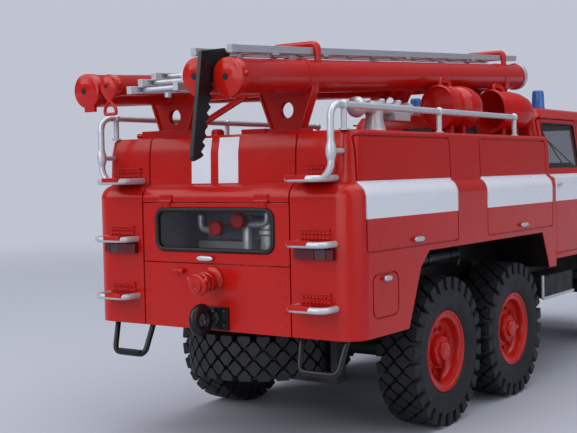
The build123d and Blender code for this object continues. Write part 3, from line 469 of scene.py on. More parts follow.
# Nodes that are shown as they are, with a finish of their own
BARE = [
    ("cab_glass", glazing), ("rear_window_pane", clear_pane), ("front_axle_pin", pin_steel),
    ("middle_axle_pin", pin_steel), ("rear_axle_pin", pin_steel)]
for node, finish in BARE:
    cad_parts[node].data.materials.clear()
    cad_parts[node].data.materials.append(finish)

# Upper rear panel's two white bands, thin films laid on the creased panel
BANDS = [(1.7, 5.7), (-3.9, 0.1)]
PANEL_X = REAR - 31.53
PANEL = [(PANEL_X, 43.05), (REAR - 31.4, 48.0), (REAR - 30.9, 50.4)]
FILM = 0.05
films = []
for right, left in BANDS:
    inner = np.array([(x - 0.01, y, z) for x, z in PANEL for y in (right, left)]).reshape(3, 2, 3)
    films.append(skin(np.concatenate([inner, inner[:, ::-1] - (FILM, 0, 0)], 1), caps=True))
piece("rear_white_bands", films, white_decal)


# ---- Wheels -------------------------------------------------------------------------------------

BLOCKS = 26
# How fast the tread falls away from its middle, per millimetre squared
CROWN = 0.012
# Tread blocks, row by row: corners are (share of a pitch round the tyre, distance across it).
DIAMOND = np.array([(-0.37, 0.0), (-0.08, -1.1), (0.08, -1.1), (0.37, 0.0), (0.08, 1.1), (-0.08, 1.1)])
SHOULDER = np.array([(-0.08, 1.9), (0.08, 1.9), (0.34, 2.9), (0.32, 3.55), (-0.32, 3.55), (-0.34, 2.9)])
TREAD = [
    {"turn": 0.0, "corners": DIAMOND, "foot": 11.9},
    {"turn": 0.5, "corners": DIAMOND + (0, 1.55), "foot": 11.9},
    {"turn": 0.5, "corners": DIAMOND - (0, 1.55), "foot": 11.9},
    {"turn": 0.0, "corners": SHOULDER, "foot": 11.2},
    {"turn": 0.0, "corners": SHOULDER * (1, -1), "foot": 11.2}]
# Bars down the side walls: corners are (share of a pitch, radius), with how far out each starts and ends.
SIDE_BAR = np.array([(-0.26, 10.55), (0.26, 10.55), (0.31, 12.85), (-0.31, 12.85)])
BAR_FOOT = np.array([3.2, 3.2, 2.6, 2.6])
BAR_TOP = np.array([3.73, 3.73, 3.62, 3.62])
# One half of the tyre's section, from its bead to the middle of its tread, as (radius, distance across)
SECTION = [
    (6.72, 2.6), (7.1, 2.9), (7.25, 3.12), (7.45, 3.12), (7.7, 3.28), (8.6, 3.55), (9.6, 3.68), (10.5, 3.68),
    (10.62, 3.72), (10.8, 3.5), (11.3, 3.1), (11.8, 2.7), (11.95, 2.3), (12.05, 1.5), (12.08, 0.0)]
TYRE_SECTION = np.array(SECTION + [(r, -y) for r, y in SECTION[-2::-1]])


def on_wheel(angle, radius, y, centre, side):
    """Points of a wheel from an angle about the axle, a radius and a distance outwards from its middle."""
    angle, radius, y = np.broadcast_arrays(angle, radius, y)
    return np.stack([centre[0] + radius * np.sin(angle), centre[1] + side * y,
                     centre[2] + radius * np.cos(angle)], -1)


def tyre(centre, side):
    """A section turned about the axle, diamond blocks on a staggered lattice, bars down the side walls."""
    parts = [turned(TYRE_SECTION, centre, (0, side, 0), 96, wrap=True)]
    pitch = 2 * np.pi / BLOCKS
    turn = np.arange(BLOCKS)[:, None] * pitch
    for row in TREAD:
        share, y = row["corners"].T
        middle = row["corners"].mean(0)
        foot_share, foot_y = (middle + 1.1 * (row["corners"] - middle)).T
        parts.append(prisms(
            on_wheel(turn + (row["turn"] + foot_share) * pitch, row["foot"], foot_y, centre, side),
            on_wheel(turn + (row["turn"] + share) * pitch, TYRE_R - CROWN * y ** 2, y, centre, side)))
    angle = turn + SIDE_BAR[:, 0] * pitch
    for face in (1, -1):
        parts.append(prisms(on_wheel(angle, SIDE_BAR[:, 1], face * BAR_FOOT, centre, side),
                            on_wheel(angle, SIDE_BAR[:, 1], face * BAR_TOP, centre, side)))
    return parts


RIM_SECTION = [
    (0.0, 3.0), (1.2, 3.0), (1.5, 2.92), (1.62, 2.75), (1.66, 2.35), (2.3, 2.3), (2.5, 2.2), (2.62, 1.9),
    (2.75, 1.25), (3.1, 1.12), (4.8, 1.02), (5.15, 1.1), (5.4, 1.35), (5.55, 1.75), (5.65, 2.35),
    (5.75, 2.62), (6.0, 2.76), (6.45, 2.82), (6.54, 2.95), (6.7, 3.06), (6.9, 3.1), (7.05, 3.02),
    (7.06, 2.8), (6.98, 2.7), (6.74, 2.68), (6.7, 2.55), (6.7, -2.7), (6.0, -2.7), (5.6, 0.3), (2.6, 0.3),
    (2.6, -0.8), (0.95, -0.8), (0.95, 1.9), (0.0, 1.9)]
STUDS = 10
STUD_RING = 3.85
HUB_RING = 2.06
CAP_RING = 0.85
# Air feed across the dish, as (radius, distance out)
FEED = np.array([(1.2, 2.7), (2.8, 2.55), (4.2, 1.75), (5.2, 1.6)])


def rim(centre, side, spin):
    """A dished disc turned about the axle, with nuts on studs, hub screws and an air feed across the dish."""
    axis = (0, side, 0)
    parts = [turned(RIM_SECTION, centre, axis, 72)]
    angle = spin + np.arange(STUDS)[:, None] * 2 * np.pi / STUDS
    six = np.arange(6) * np.pi / 3
    hub = on_wheel(angle, STUD_RING, 1.0, centre, side)
    nut = 0.44 * np.stack([np.sin(six), 0 * six, np.cos(six)], 1)
    parts.append(prisms(hub + nut, hub + nut * 0.92 + (0, side * 0.5, 0)))
    parts.append(domes(on_wheel(angle[:, 0], STUD_RING, 1.45, centre, side), axis, 0.2, 0.35))
    parts.append(domes(on_wheel(angle[:, 0] + 0.3, HUB_RING, 2.28, centre, side), axis, 0.2, 0.2))
    parts.append(domes(on_wheel(angle[::2, 0], CAP_RING, 2.98, centre, side), axis, 0.14, 0.12))
    feed = on_wheel(spin + 0.16, FEED[:, 0], FEED[:, 1], centre, side)
    parts.append(swept(eased(feed, 0.4), soft_box(0.9, 0.7, 0.2, 3), axis))
    return parts


for body, x, spin in (("front_axle", FRONT, 0.5), ("middle_axle", MIDDLE, 1.42), ("rear_axle", REAR, 2.9)):
    name = body.split("_")[0]
    hubs = [(np.array((x, side * TRACK / 2, TYRE_R)), side) for side in (1, -1)]
    piece(name + "_tyre_treads", sum((tyre(*hub) for hub in hubs), []), rubber, body,
          (name + "_tyres",), sharp=30)
    piece(name + "_rim_dishes", sum((rim(*hub, spin) for hub in hubs), []), red_enamel, body,
          (name + "_rims",), sharp=32)

SPARE = (REAR - 19.9, 0, 15.0)


def laid_flat(parts):
    """A wheel worked out about the origin, turned onto its outer face and set in its place under the tail."""
    return [(points[:, [0, 2, 1]] * (1, 1, -1) + SPARE, polygons) for points, polygons in parts]


piece("spare_tyre_tread", laid_flat(tyre((0, 0, 0), 1)), rubber, stands_for=("spare_tyre",), sharp=30)
piece("spare_rim_dish", laid_flat(rim((0, 0, 0), 1, 0.3)), red_enamel, stands_for=("spare_rim",),
      sharp=32)

# ---- Hose tubes, lids and ladders ---------------------------------------------------------------

# Tubes in roof-gear coordinates, with how much each lid swells below and which side its knob is on
TUBES = [
    {"y": -12.2, "z": 58.6, "r": 2.65, "lid": 2.78, "swell": 0.1, "nub": -1},
    {"y": -6.4, "z": 59.0, "r": 2.65, "lid": 2.78, "swell": 0.1, "nub": -1},
    {"y": 16.6, "z": 58.2, "r": 2.6, "lid": 2.74, "swell": 0.0, "nub": 1},
    {"y": 11.7, "z": 58.7, "r": 1.65, "lid": 1.85, "swell": 0.3, "nub": -1}]
LONG = 104.0


def tube(row):
    """A tube with a rolled end bead, two straps and an open front, turned about its own axis."""
    r = row["r"]
    profile = [(0, 0.3), (r - 0.3, 0.3), (r, 0.2), (r + 0.1, 0.5), (r + 0.1, 1.2), (r, 1.35), (r, 17.2),
               (r + 0.13, 17.3), (r + 0.13, 19.0), (r, 19.1), (r, 92.5), (r + 0.13, 92.6), (r + 0.13, 94.3),
               (r, 94.4), (r, LONG - 1.6), (r + 0.12, LONG - 1.5), (r + 0.12, LONG - 0.1), (r, LONG),
               (r - 0.35, LONG), (r - 0.4, LONG - 3.0), (0, LONG - 3.0)]
    return turned(profile, (0, row["y"], row["z"]), ALONG, 56)


def lid(row):
    """A domed disc on a polar grid whose edge swells a little towards the bottom."""
    angle = np.linspace(0, 2 * np.pi, 64, endpoint=False)
    edge = row["lid"] * (1 + row["swell"] * np.exp(-((angle - 1.5 * np.pi) / 0.45) ** 2))
    share = np.array([1.0, 1.0, 0.985, 0.93, 0.8, 0.55, 0.3, 0.0])[:, None]
    proud = np.array([0.15, -0.25, -0.4, -0.5, -0.52, -0.72, -0.83, -0.87])[:, None]
    grid = np.stack([proud + 0 * angle, row["y"] + share * edge * np.cos(angle),
                     row["z"] + share * edge * np.sin(angle)], -1)
    points, polygons = skin(grid)
    return points, polygons + [np.arange(64)[None]]


piece("hose_tube_skins", geared([tube(row) for row in TUBES]), red_enamel, stands_for=("hose_tubes",))
# Lids, the small one's wire loop, the large one's tab, and a knob on each
KNOB = [(0, 0), (0.36, 0), (0.36, 0.4), (0.2, 0.6), (0, 0.62)]
loop = eased([(-0.3, 0.05, -2.2), (-0.3, 1.15, -3.5), (-0.3, 1.25, -4.4),
              (-0.3, -1.25, -4.4), (-0.3, -1.15, -3.5), (-0.3, -0.05, -2.2)], 0.35)
lids = [lid(row) for row in TUBES]
lids.append(swept(loop + (0, TUBES[3]["y"], TUBES[3]["z"]), circle(0.26, 10), ALONG))
lids.append(bar(-0.42, 0.12, 15.1, 17.3, 54.85, 56.2))
# The lids' holes are not cut: a thin black disc on each is painted shade where the hole's dark inside would
# show
hole_shades = []
for row in TUBES:
    foot = (0.3, row["y"] + row["nub"] * (row["r"] - 0.1), row["z"] + 0.3)
    lids.append(turned(KNOB, foot, (0, row["nub"], 0), 12))
    hole = [(0, 0), (0.62 * row["lid"] / 3, 0.12), (0.56 * row["lid"] / 3, -0.04), (0, -0.05)]
    hole_shades.append(turned(hole, (-0.84, row["y"] + 0.15, row["z"]), ALONG, 20))
piece("tube_lid_caps", geared(lids), bright_red, stands_for=("tube_lids",))
piece("lid_hole_shades", geared(hole_shades), seal)
NOSE_RING = [(2.3, 0), (2.9, 0), (2.98, 0.15), (2.98, 1.0), (2.9, 1.12), (2.3, 1.12)]
end_ring = turned(NOSE_RING, (LONG - 1.1, TUBES[0]["y"], TUBES[0]["z"]), ALONG, 48, wrap=True)
piece("tube_nose_ring", geared([end_ring]), silver)

SECTIONS = [
    {"start": 0.0, "z": 57.8, "half": 5.2},
    {"start": 2.3, "z": 58.9, "half": 4.9},
    {"start": 5.2, "z": 59.9, "half": 4.6}]
STILE_WIDE = 0.9
STILE_TALL = 1.1
CHANNEL = np.array([(-0.5, -0.5), (0.5, -0.5), (0.5, -0.3), (-0.1, -0.26), (-0.1, 0.26), (0.5, 0.3),
                    (0.5, 0.5), (-0.5, 0.5)]) * (STILE_WIDE, STILE_TALL)
# Half an end block, as a share of the stile that it closes
BLOCK = 0.54


def ladder(start, length, y, z, half, rungs):
    """Two channel-shaped stiles with end blocks, and round rungs between, each carried along a line."""
    parts = []
    reach = half - STILE_WIDE / 2
    wide, tall = STILE_WIDE * BLOCK, STILE_TALL * BLOCK
    for side in (1, -1):
        middle = y + side * reach
        run = [(start + 0.4, middle, z), (start + length, middle, z)]
        parts.append(swept(run, CHANNEL * (side, 1), UP))
        parts.append(bar(start, start + 1.4, middle - wide, middle + wide, z - tall, z + tall))
    for x in start + 3.2 + np.arange(rungs) * (length - 6.4) / (rungs - 1):
        parts.append(swept([(x, y - reach, z), (x, y + reach, z)], circle(0.36, 10), UP))
    return parts


PEG = [(0, 0), (0.55, 0), (0.55, 0.7), (0.35, 0.8), (0, 0.8)]
stack = sum((ladder(row["start"], 96.0, 3.0, row["z"], row["half"], 12) for row in SECTIONS), [])
stack.append(turned(PEG, (5.0, 4.2, 57.2), (0, 0, -1), 14))
piece("three_section_ladder", geared(stack), silver, stands_for=("extension_ladder",), bevel=0.06)
hooked = ladder(0.1, 103.3, -9.0, 62.6, 3.85, 13)
for x in (10.0, 24.0, 52.0, 80.0):
    for y in (-12.4, -5.6):
        hooked.append(bar(x, x + 1.5, y - 0.6, y + 0.6, 61.7, 62.4))
piece("hook_ladder_frame", geared(hooked), dull_silver, stands_for=("hook_ladder",), bevel=0.06)

# Toothed hook that hangs behind the tubes: one outline in (x, z) from the tubes' tail, pushed to a thickness
TEETH = 8
blade = [(3.8, 62.0), (3.8, 63.1), (2.4, 63.1), (-2.7, 62.3), (-5.3, 46.9), (-4.9, 46.4), (-3.4, 46.9)]
for i in range(TEETH):
    edge = 3.0 * (i / TEETH - 1)
    blade += [(edge + 0.3, 47.3 + 1.4 * i), (edge - 0.3, 47.8 + 1.4 * i)]
blade += [(0.4, 58.6), (1.6, 61.1)]
blade = [(REAR - GEAR_BACK + x, -9.35, z) for x, z in blade]
piece("toothed_hook", [plate(blade, (0, 0.7, 0))], black, stands_for=("ladder_hook",), bevel=0.1)

hoops = []
for x in (-22.3, 51.0):
    rise = (x + GEAR_BACK) * np.tan(GEAR_RISE)
    foot, top = 60.6 + rise, 63.7 + rise
    run = [(REAR + x, -13.35, foot), (REAR + x, -13.35, top), (REAR + x, -4.65, top), (REAR + x, -4.65, foot)]
    hoops.append(swept(eased(run, 1.0), circle(0.55, 12), ALONG))
piece("ladder_keepers", hoops, bright_red, stands_for=("ladder_hoops",))

# Turned-over edges of the tube brackets: a flat section carried down each side of each bracket
edges = []
for x, base in ((-25.0, BODY_TOP), (50.0, CAB_TOP)):
    top = 57.6 + (x + 43.2) * np.tan(GEAR_RISE)
    for y, half in ((-9.3, 5.2), (14.4, 5.1)):
        for side in (1, -1):
            run = [(REAR + x, y + side * half, top - 0.1), (REAR + x, y + side * half, top - 1.2),
                   (REAR + x, y + side * 2.8, base + 0.6)]
            edges.append(swept(eased(run, 0.5), soft_box(0.4, 1.9, 0.12, 3), ALONG))
# A brace between the rear brackets and the filler cap below it
FILLER = [(0, 0), (1.1, 0), (1.1, 0.9), (0.8, 1.3), (0, 1.4)]
brace = [(REAR - 25.0, 8.4, 53.2), (REAR - 25.0, -0.8, 57.3)]
edges.append(swept(brace, soft_box(1.0, 0.7, 0.15, 3), ALONG))
edges.append(turned(FILLER, (REAR - 25.5, 4.9, BODY_TOP - 0.1), UP, 24))
piece("bracket_edges", edges, red_enamel)

# ---- Handrails, steps and rear fittings ---------------------------------------------------------

RAIL_X = TAIL - 0.9
RAIL_Y = 23.3
RAIL_Z = 54.5
SLEEVE = [(0, -1.4), (0.54, -1.4), (0.68, -0.9), (0.8, -0.4), (0.8, 0.4), (0.68, 0.9), (0.54, 1.4), (0, 1.4)]
STAY = [(0, 0), (0.45, 0), (0.4, 1.2), (0.4, 4.0), (0.75, 4.4), (0.75, 4.9), (0, 4.9)]
POST = [(0, 0), (0.8, 0), (0.8, 0.25), (0.46, 0.4), (0.46, 3.9), (0, 3.9)]
arc = np.linspace(0, np.pi, 11)
BALL = 0.76 * np.stack([np.sin(arc), -np.cos(arc)], 1)
low = eased([(RAIL_X, 22.0, 43.7), (RAIL_X, RAIL_Y, 45.1), (RAIL_X, RAIL_Y, 48.0)], 1.0)
high = eased([(RAIL_X, RAIL_Y, 48.0), (RAIL_X, RAIL_Y, RAIL_Z), (REAR + 32.8, RAIL_Y, RAIL_Z)], 2.6, 10)
rails = [swept(np.concatenate([low, high[1:]]), circle(0.53, 16), ASIDE),
         turned(SLEEVE, (RAIL_X, RAIL_Y, 47.6), UP, 20),
         turned(STAY, (RAIL_X, RAIL_Y, 47.6), ALONG, 16)]
for x in (-30.7, 0.3, 32.8):
    rails.append(turned(BALL, (REAR + x, RAIL_Y, RAIL_Z), UP, 20))
    rails.append(turned(POST, (REAR + x, RAIL_Y, BODY_TOP - 0.1), UP, 16))
piece("roof_handrails", mirrored(rails), silver, stands_for=("handrails",))

# Corner steps: a tread with a round silver edge, and above it a toe pad of two rows of studs on the wall
STEPS = [
    {"z": 43.3, "x": TAIL + 1.9, "deep": 4.7, "out": 22.3, "wall": REAR - 31.5},
    {"z": 33.6, "x": TAIL, "deep": 2.8, "out": 23.15, "wall": TAIL},
    {"z": 24.0, "x": TAIL, "deep": 2.8, "out": 23.15, "wall": TAIL}]
PAD_IN = 17.0
PAD_OUT = 22.4
treads, edging, pads, studs = [], [], [], []
for row in STEPS:
    x, z, out, wall = row["x"], row["z"], row["out"], row["wall"]
    front, level = x - row["deep"], z + 0.3
    treads.append(bar(front, x, 16.6, out - 0.2, z, z + 0.45))
    treads.append(bar(front - 1.1, front + 0.3, 17.0, 20.6, level - 0.12, level + 0.62))
    run = [(x, 16.45, level), (front - 0.57, 16.45, level), (front - 0.57, out, level), (x + 0.6, out, level)]
    edging.append(swept(eased(run, 1.8, 10), circle(0.5, 16), UP))
    pads.append(bar(wall - 0.2, wall + 0.3, PAD_IN, PAD_OUT, z + 0.6, z + 2.3))
    pads.append(bar(wall - 0.4, wall + 0.3, PAD_IN, PAD_OUT, z + 2.25, z + 2.55))
    spot_y, spot_z = np.meshgrid(np.linspace(PAD_IN + 0.4, PAD_OUT - 0.4, 8), z + np.array((1.05, 1.8)))
    spots = np.stack([0 * spot_y + wall - 0.2, spot_y, spot_z], -1).reshape(-1, 3)
    studs.append(domes(spots, REARWARD, 0.27, 0.26))
piece("step_treads", mirrored(treads), red_enamel, stands_for=("corner_steps",), bevel=0.1)
piece("step_silver_edges", mirrored(edging), silver, stands_for=("step_rims",))
piece("toe_pads", mirrored(pads + studs), red_enamel, bevel=0.05)

LAMP_FOOT = 31.5
LAMP_TOP = 33.2
lamp = [bar(TAIL - 1.0, TAIL + 0.1, y0, y1, LAMP_FOOT, LAMP_TOP) for y0, y1 in ((16.2, 19.9), (22.0, 23.2))]
piece("tail_lamp_red", mirrored(lamp), red_lens, stands_for=("tail_lamps",), bevel=0.18)
lamp = [bar(TAIL - 0.95, TAIL + 0.1, 19.95, 21.95, LAMP_FOOT, LAMP_TOP)]
piece("tail_lamp_smoke", mirrored(lamp), smoke_lens, bevel=0.18)

run = [(TAIL + 2.4, 15.3, 19.6), (TAIL + 0.5, 15.9, 14.2), (TAIL + 0.5, 22.8, 14.2), (TAIL + 2.4, 23.6, 19.6)]
stirrups = mirrored([swept(eased(run, 1.3), circle(0.48, 12), ALONG)])
stirrups.append(bar(TAIL - 0.1, TAIL + 1.1, 16.6, 22.2, 14.35, 14.8))
piece("wire_stirrups", stirrups, black, stands_for=("stirrups",))

# Rear window rubber: a soft section carried round the window's outline
outline = soft_box(23.7, 6.5, 1.5, 8)
loop = np.stack([0 * outline[:, 0] + TAIL + 0.2, outline[:, 0], 35.6 + outline[:, 1]], 1)
piece("flap_window_rubber", [swept(loop, soft_box(0.72, 1.0, 0.3, 4), ALONG, wrap=True)], seal,
      stands_for=("rear_window_rubber",))

# Rivets along the rear seams and over the side doors, hinges over the flap, and a latch below it
rivets = [(PANEL_X + 0.026 * (z - 43), y, z) for y in (13.9, -13.9) for z in (44.3, 46.2, 47.7)]
rivets += [(TAIL, y, z) for y in (13.9, -13.9) for z in (20.9, 23.2, 25.5, 27.8, 29.4)]
rivets += [(TAIL, y, 40.5) for y in (-9.0, 0.0, 9.0)]
fittings = [domes(rivets, REARWARD, 0.2, 0.14)]
for side in (1, -1):
    spots = [(REAR + x, side * 25.1, 49.2) for x in (-26.5, -11.5, -2.0, 15.0, 28.3, 41.5)]
    fittings.append(domes(spots, (0, side, 0), 0.2, 0.14))
HINGE_SCREWS = [(-0.9, 40.95), (0, 40.95), (0.9, 40.95), (-0.55, 39.6), (0.55, 39.6)]
for y in (9.8, -9.8):
    fittings.append(bar(TAIL - 0.22, TAIL + 0.2, y - 1.35, y + 1.35, 40.3, 41.3))
    fittings.append(bar(TAIL - 0.22, TAIL + 0.2, y - 0.95, y + 0.95, 39.2, 40.2))
    knuckle = [(TAIL - 0.2, y - 1.35, 40.25), (TAIL - 0.2, y + 1.35, 40.25)]
    fittings.append(swept(knuckle, circle(0.24, 10), UP))
    fittings.append(domes([(TAIL - 0.22, y + d, z) for d, z in HINGE_SCREWS], REARWARD, 0.22, 0.2))
latch = [(TAIL - 0.45, 5.9, 28.9), (TAIL - 0.45, 8.0, 28.9)]
fittings.append(swept(latch, soft_box(0.8, 0.75, 0.3, 4), UP))
fittings.append(bar(TAIL - 0.5, TAIL + 0.2, 6.3, 7.6, 28.6, 29.2))
piece("rivets_and_hinges", fittings, red_enamel, bevel=0.05)


def handle(x, y, z, on_rear, long, proud):
    """A boat-shaped handle on a short post.

    An ellipse runs along it, its size the root of one minus the fourth power of its place from the middle.
    """
    share = np.linspace(-1, 1, 15)[:, None]
    size = np.sqrt(np.clip(1 - share ** 4, 0, 1)) + 0.02
    ring = circle(1.0, 12)
    out = proud * (0.62 + 0.3 * ring[:, 0] * size)
    lift = 0.4 * ring[:, 1] * size
    run = share * long / 2 + 0 * out
    if on_rear:
        axis = REARWARD
        grid = np.stack([x - out, y + run, z + lift], -1)
    else:
        axis = (0, np.sign(y), 0)
        grid = np.stack([x + run, y + np.sign(y) * out, z + lift], -1)
    post = [(0, -0.2), (0.34, -0.2), (0.3, proud * 0.6), (0, proud * 0.6)]
    return [skin(grid, caps=True), turned(post, (x, y, z), axis, 12)]


grips = sum((handle(REAR + x, side * BODY_HALF, z, False, long, 0.8) for side in (1, -1)
             for x, z, long in ((-14.7, 33.5, 3.4), (28.3, 33.5, 3.4), (-25.0, 28.2, 2.3))), [])
grips += handle(TAIL, 1.4, 31.05, True, 3.4, 0.8)
grips += sum((handle(x, side * 26.2, 40.9, False, 2.2, 0.7) for side in (1, -1) for x in (7.6, 31.0)), [])
piece("bright_door_handles", grips, silver, stands_for=("door_handles",))

# Suction inlet: a ribbed neck and cap turned about an axis tilted down, with two lugs on the cap
INLET = [
    (0, -0.6), (1.95, -0.6), (2.0, 0.3), (1.5, 0.5), (1.32, 0.75), (1.32, 1.5), (1.62, 1.6), (1.66, 2.1),
    (1.36, 2.25), (1.36, 2.5), (1.62, 2.6), (1.66, 3.1), (1.45, 3.25), (1.5, 3.6), (1.79, 3.75), (1.8, 4.2),
    (1.62, 4.35), (1.1, 4.4), (1.0, 4.75), (0.45, 4.8), (0.3, 4.65), (0, 4.65)]
LUG = [(0, 0), (0.42, 0), (0.42, 2.1), (0.3, 2.3), (0, 2.3)]
INLET_AT = np.array((TAIL, 0, 27.9))
DROOP = np.radians(10)
tilt = np.array((-np.cos(DROOP), 0, -np.sin(DROOP)))
inlet = [turned(INLET, INLET_AT, tilt, 40)]
inlet += [turned(LUG, INLET_AT + 3.95 * tilt, (0, side, 0.5), 12) for side in (1, -1)]
piece("suction_inlet_cap", inlet, bright_red, stands_for=("suction_inlet",))

# Towing eye: a soft ring, its neck and its bolted plate
EYE = [
    (1.0, -0.35), (1.2, -0.62), (1.6, -0.7), (2.1, -0.66), (2.48, -0.45), (2.6, -0.2), (2.6, 0.2),
    (2.48, 0.45), (2.1, 0.66), (1.6, 0.7), (1.2, 0.62), (1.0, 0.35)]
NECK = [(0, 0), (0.8, 0), (0.9, 0.4), (1.3, 0.7), (1.3, 1.2), (0, 1.2)]
EYE_X = TAIL - 3.4
EYE_Z = 21.6
eye = [turned(EYE, (EYE_X, 0, EYE_Z), ASIDE, 48, wrap=True),
       turned(NECK, (EYE_X + 2.1, 0, EYE_Z), ALONG, 24),
       bar(TAIL - 0.5, TAIL + 0.1, -3.0, 3.0, 19.7, 23.4),
       domes([(TAIL - 0.5, y, z) for y in (-2.3, 2.3) for z in (20.5, 22.7)], REARWARD, 0.4, 0.35)]
piece("towing_eye_ring", eye, black, stands_for=("towing_eye",), bevel=0.08)

# ---- Pump bay -----------------------------------------------------------------------------------

BAY_BACK = TAIL + 16.0
BAY_FLOOR = 23.3
PIPE_X = BAY_BACK - 7.5
BEND_X = BAY_BACK - 8.5
CAP_SPOTS = ((3.9, 35.5), (-0.7, 36.8))
THICK_PIPE = [(0, 0), (1.4, 0), (1.4, 11.0), (1.7, 11.2), (1.7, 11.9), (1.3, 12.1), (1.3, 13.6), (0, 13.6)]
THIN_PIPE = [(0, 0), (1.0, 0), (1.0, 13.0), (0.7, 14.5), (0, 14.5)]
OUTLET = [(0, 0), (0.7, 0), (0.7, 9.4), (0, 9.4)]
COLLAR = [(0, 0), (1.1, 0), (1.1, 0.5), (0, 0.5)]
PUMP_CAP = [(0, -0.15), (1.0, -0.1), (1.25, -0.3), (1.35, 0.0), (1.35, 0.7), (1.1, 1.0), (0, 1.0)]
left_bend = eased([(PIPE_X, 9.4, 37.6), (PIPE_X, 9.4, 35.0), (PIPE_X, 4.4, 35.0)], 1.4)
right_bend = eased([(BEND_X, -1.6, 36.2), (BEND_X, -5.4, 36.2), (BEND_X, -5.4, 38.4)], 1.0)
pump = [bar(BAY_BACK - 5, BAY_BACK - 0.1, -12.2, 12.2, BAY_FLOOR, 33.0),
        bar(BAY_BACK - 9, BAY_BACK - 4.9, -7, 7, BAY_FLOOR, 26.5),
        turned(THICK_PIPE, (PIPE_X, -5.0, BAY_FLOOR), UP, 24),
        turned(THIN_PIPE, (PIPE_X, -0.7, BAY_FLOOR), UP, 20),
        swept(left_bend, circle(0.62, 14), ALONG),
        turned(COLLAR, (PIPE_X, 5.3, 35.1), ASIDE, 20),
        swept(right_bend, circle(0.6, 14), ALONG)]
pump += [turned(OUTLET, (BAY_BACK - 9.4, y, z), ALONG, 16) for y, z in CAP_SPOTS]
piece("pump_and_pipes", pump, silver, stands_for=("pump",), bevel=0.1)
caps = [turned(PUMP_CAP, (BAY_BACK - 10.4, y, z), ALONG, 28) for y, z in CAP_SPOTS]
piece("pump_red_caps", caps, bright_red, stands_for=("pump_caps",))

# ---- Roof stores --------------------------------------------------------------------------------


def set_down(parts, origin, turn):
    """Parts worked out along +X from nought, turned about the vertical by degrees and carried to a place."""
    c, s = np.cos(np.radians(turn)), np.sin(np.radians(turn))
    spin = np.array([(c, s, 0), (-s, c, 0), UP])
    return [(points @ spin + origin, polygons) for points, polygons in parts]


# Foam generators: a drum with its cover on and one without, each with a grip on top and two feet
CLOSED = [
    (0, 0.55), (3.5, 0.55), (3.75, 0.4), (3.82, 0.05), (4.0, 0.0), (4.2, 0.2), (4.2, 0.75), (4.05, 0.95),
    (4.0, 2.6), (4.15, 2.75), (4.15, 3.2), (3.9, 3.35), (3.5, 3.6), (3.4, 4.0), (3.7, 4.5), (4.05, 5.2),
    (4.2, 6.2), (4.1, 7.8), (3.6, 9.4), (2.7, 10.5), (1.4, 11.0), (0, 11.05)]
OPEN = [
    (0, 6.5), (2.0, 6.3), (3.2, 4.0), (3.8, 1.2), (4.05, 0.1), (4.3, 0.0), (4.48, 0.2), (4.48, 0.75),
    (4.25, 0.95), (4.15, 2.6), (4.1, 5.2), (3.8, 7.4), (3.1, 9.4), (2.2, 10.6), (1.2, 11.0), (0, 11.05)]
grip = eased([(1.2, 0, 4.1), (1.4, 0, 5.3), (3.6, 0, 5.0), (4.2, 0, 3.2)], 0.5)
stores = []
for x, y, turn, form in ((12.8, -16.5, -12, CLOSED), (34.8, -17.2, -20, OPEN)):
    store = [turned(form, (0, 0, 0), ALONG, 64), swept(grip, soft_box(0.9, 0.5, 0.18, 3), ASIDE)]
    store += [bar(foot, foot + 0.9, -2.2, 2.2, -5.2, -3.4) for foot in (1.4, 5.0)]
    stores += set_down(store, (REAR + x, y, BODY_TOP + 5.2), turn)
piece("foam_generator_drums", stores, bright_red, stands_for=("foam_generators",))

# Water monitor: a turned base, a long barrel with a bulb at its rear, a rest under it and two knobs
MONITOR_X = REAR - 7.6
MONITOR_Y = -15.0
BASE = [(0, 0), (2.3, 0), (2.3, 0.5), (2.0, 0.6), (1.5, 2.6), (1.6, 4.0), (0, 4.6)]
BARREL = [
    (0, 0.0), (0.9, 0.02), (1.4, 0.25), (1.7, 0.75), (1.78, 1.3), (1.6, 1.9), (1.2, 2.35), (0.95, 2.6),
    (0.9, 5.0), (1.3, 5.3), (1.35, 8.2), (1.1, 8.5), (1.0, 13.4), (1.25, 13.5), (1.25, 14.4), (1.0, 14.5),
    (1.0, 18.0), (1.4, 18.1), (1.4, 18.8), (0, 18.85)]
BARREL_KNOB = [(0, 0), (0.6, 0), (0.75, 0.3), (0.75, 0.8), (0.5, 1.0), (0, 1.0)]
monitor = [turned(BASE, (MONITOR_X, MONITOR_Y, BODY_TOP), UP, 28),
           turned(BARREL, (MONITOR_X - 6.9, MONITOR_Y, BODY_TOP + 4.4), ALONG, 28),
           bar(MONITOR_X + 5.0, MONITOR_X + 10.4, -16.4, -13.6, BODY_TOP + 2.4, BODY_TOP + 3.8)]
monitor += [turned(BARREL_KNOB, (MONITOR_X + x, MONITOR_Y, BODY_TOP + 5.1), UP, 18) for x in (2.4, 8.2)]
piece("water_monitor", monitor, silver, stands_for=("monitor",), bevel=0.06)

# ---- Cab fittings, lamps and steps --------------------------------------------------------------

DOME = [
    (0, 0), (1.6, 0), (1.6, 0.5), (1.48, 0.55), (1.5, 0.9), (1.42, 1.0), (1.32, 3.6), (1.25, 4.3),
    (1.0, 4.62), (0, 4.7)]
beacon = turned(DOME, (CAB_BACK + 18.5, 15.6, CAB_TOP - 0.1), UP, 28)
piece("roof_beacons", mirrored([beacon]), blue_lens, stands_for=("beacons",))
LAMP_GLASS = [(0, 0), (2.7, 0), (2.7, 0.45), (2.55, 0.62), (2.0, 0.76), (1.0, 0.86), (0, 0.9)]
LAMP_RIM = [(2.5, -0.1), (3.0, -0.1), (3.02, 0.4), (2.85, 0.66), (2.62, 0.62), (2.55, 0.35)]
LAMP_AT = (NOSE, 19.0, 28.6)
piece("headlamp_glasses", mirrored([turned(LAMP_GLASS, LAMP_AT, ALONG, 40)]), lamp_lens,
      stands_for=("headlamps",))
piece("headlamp_rims", mirrored([turned(LAMP_RIM, LAMP_AT, ALONG, 40, wrap=True)]), silver)
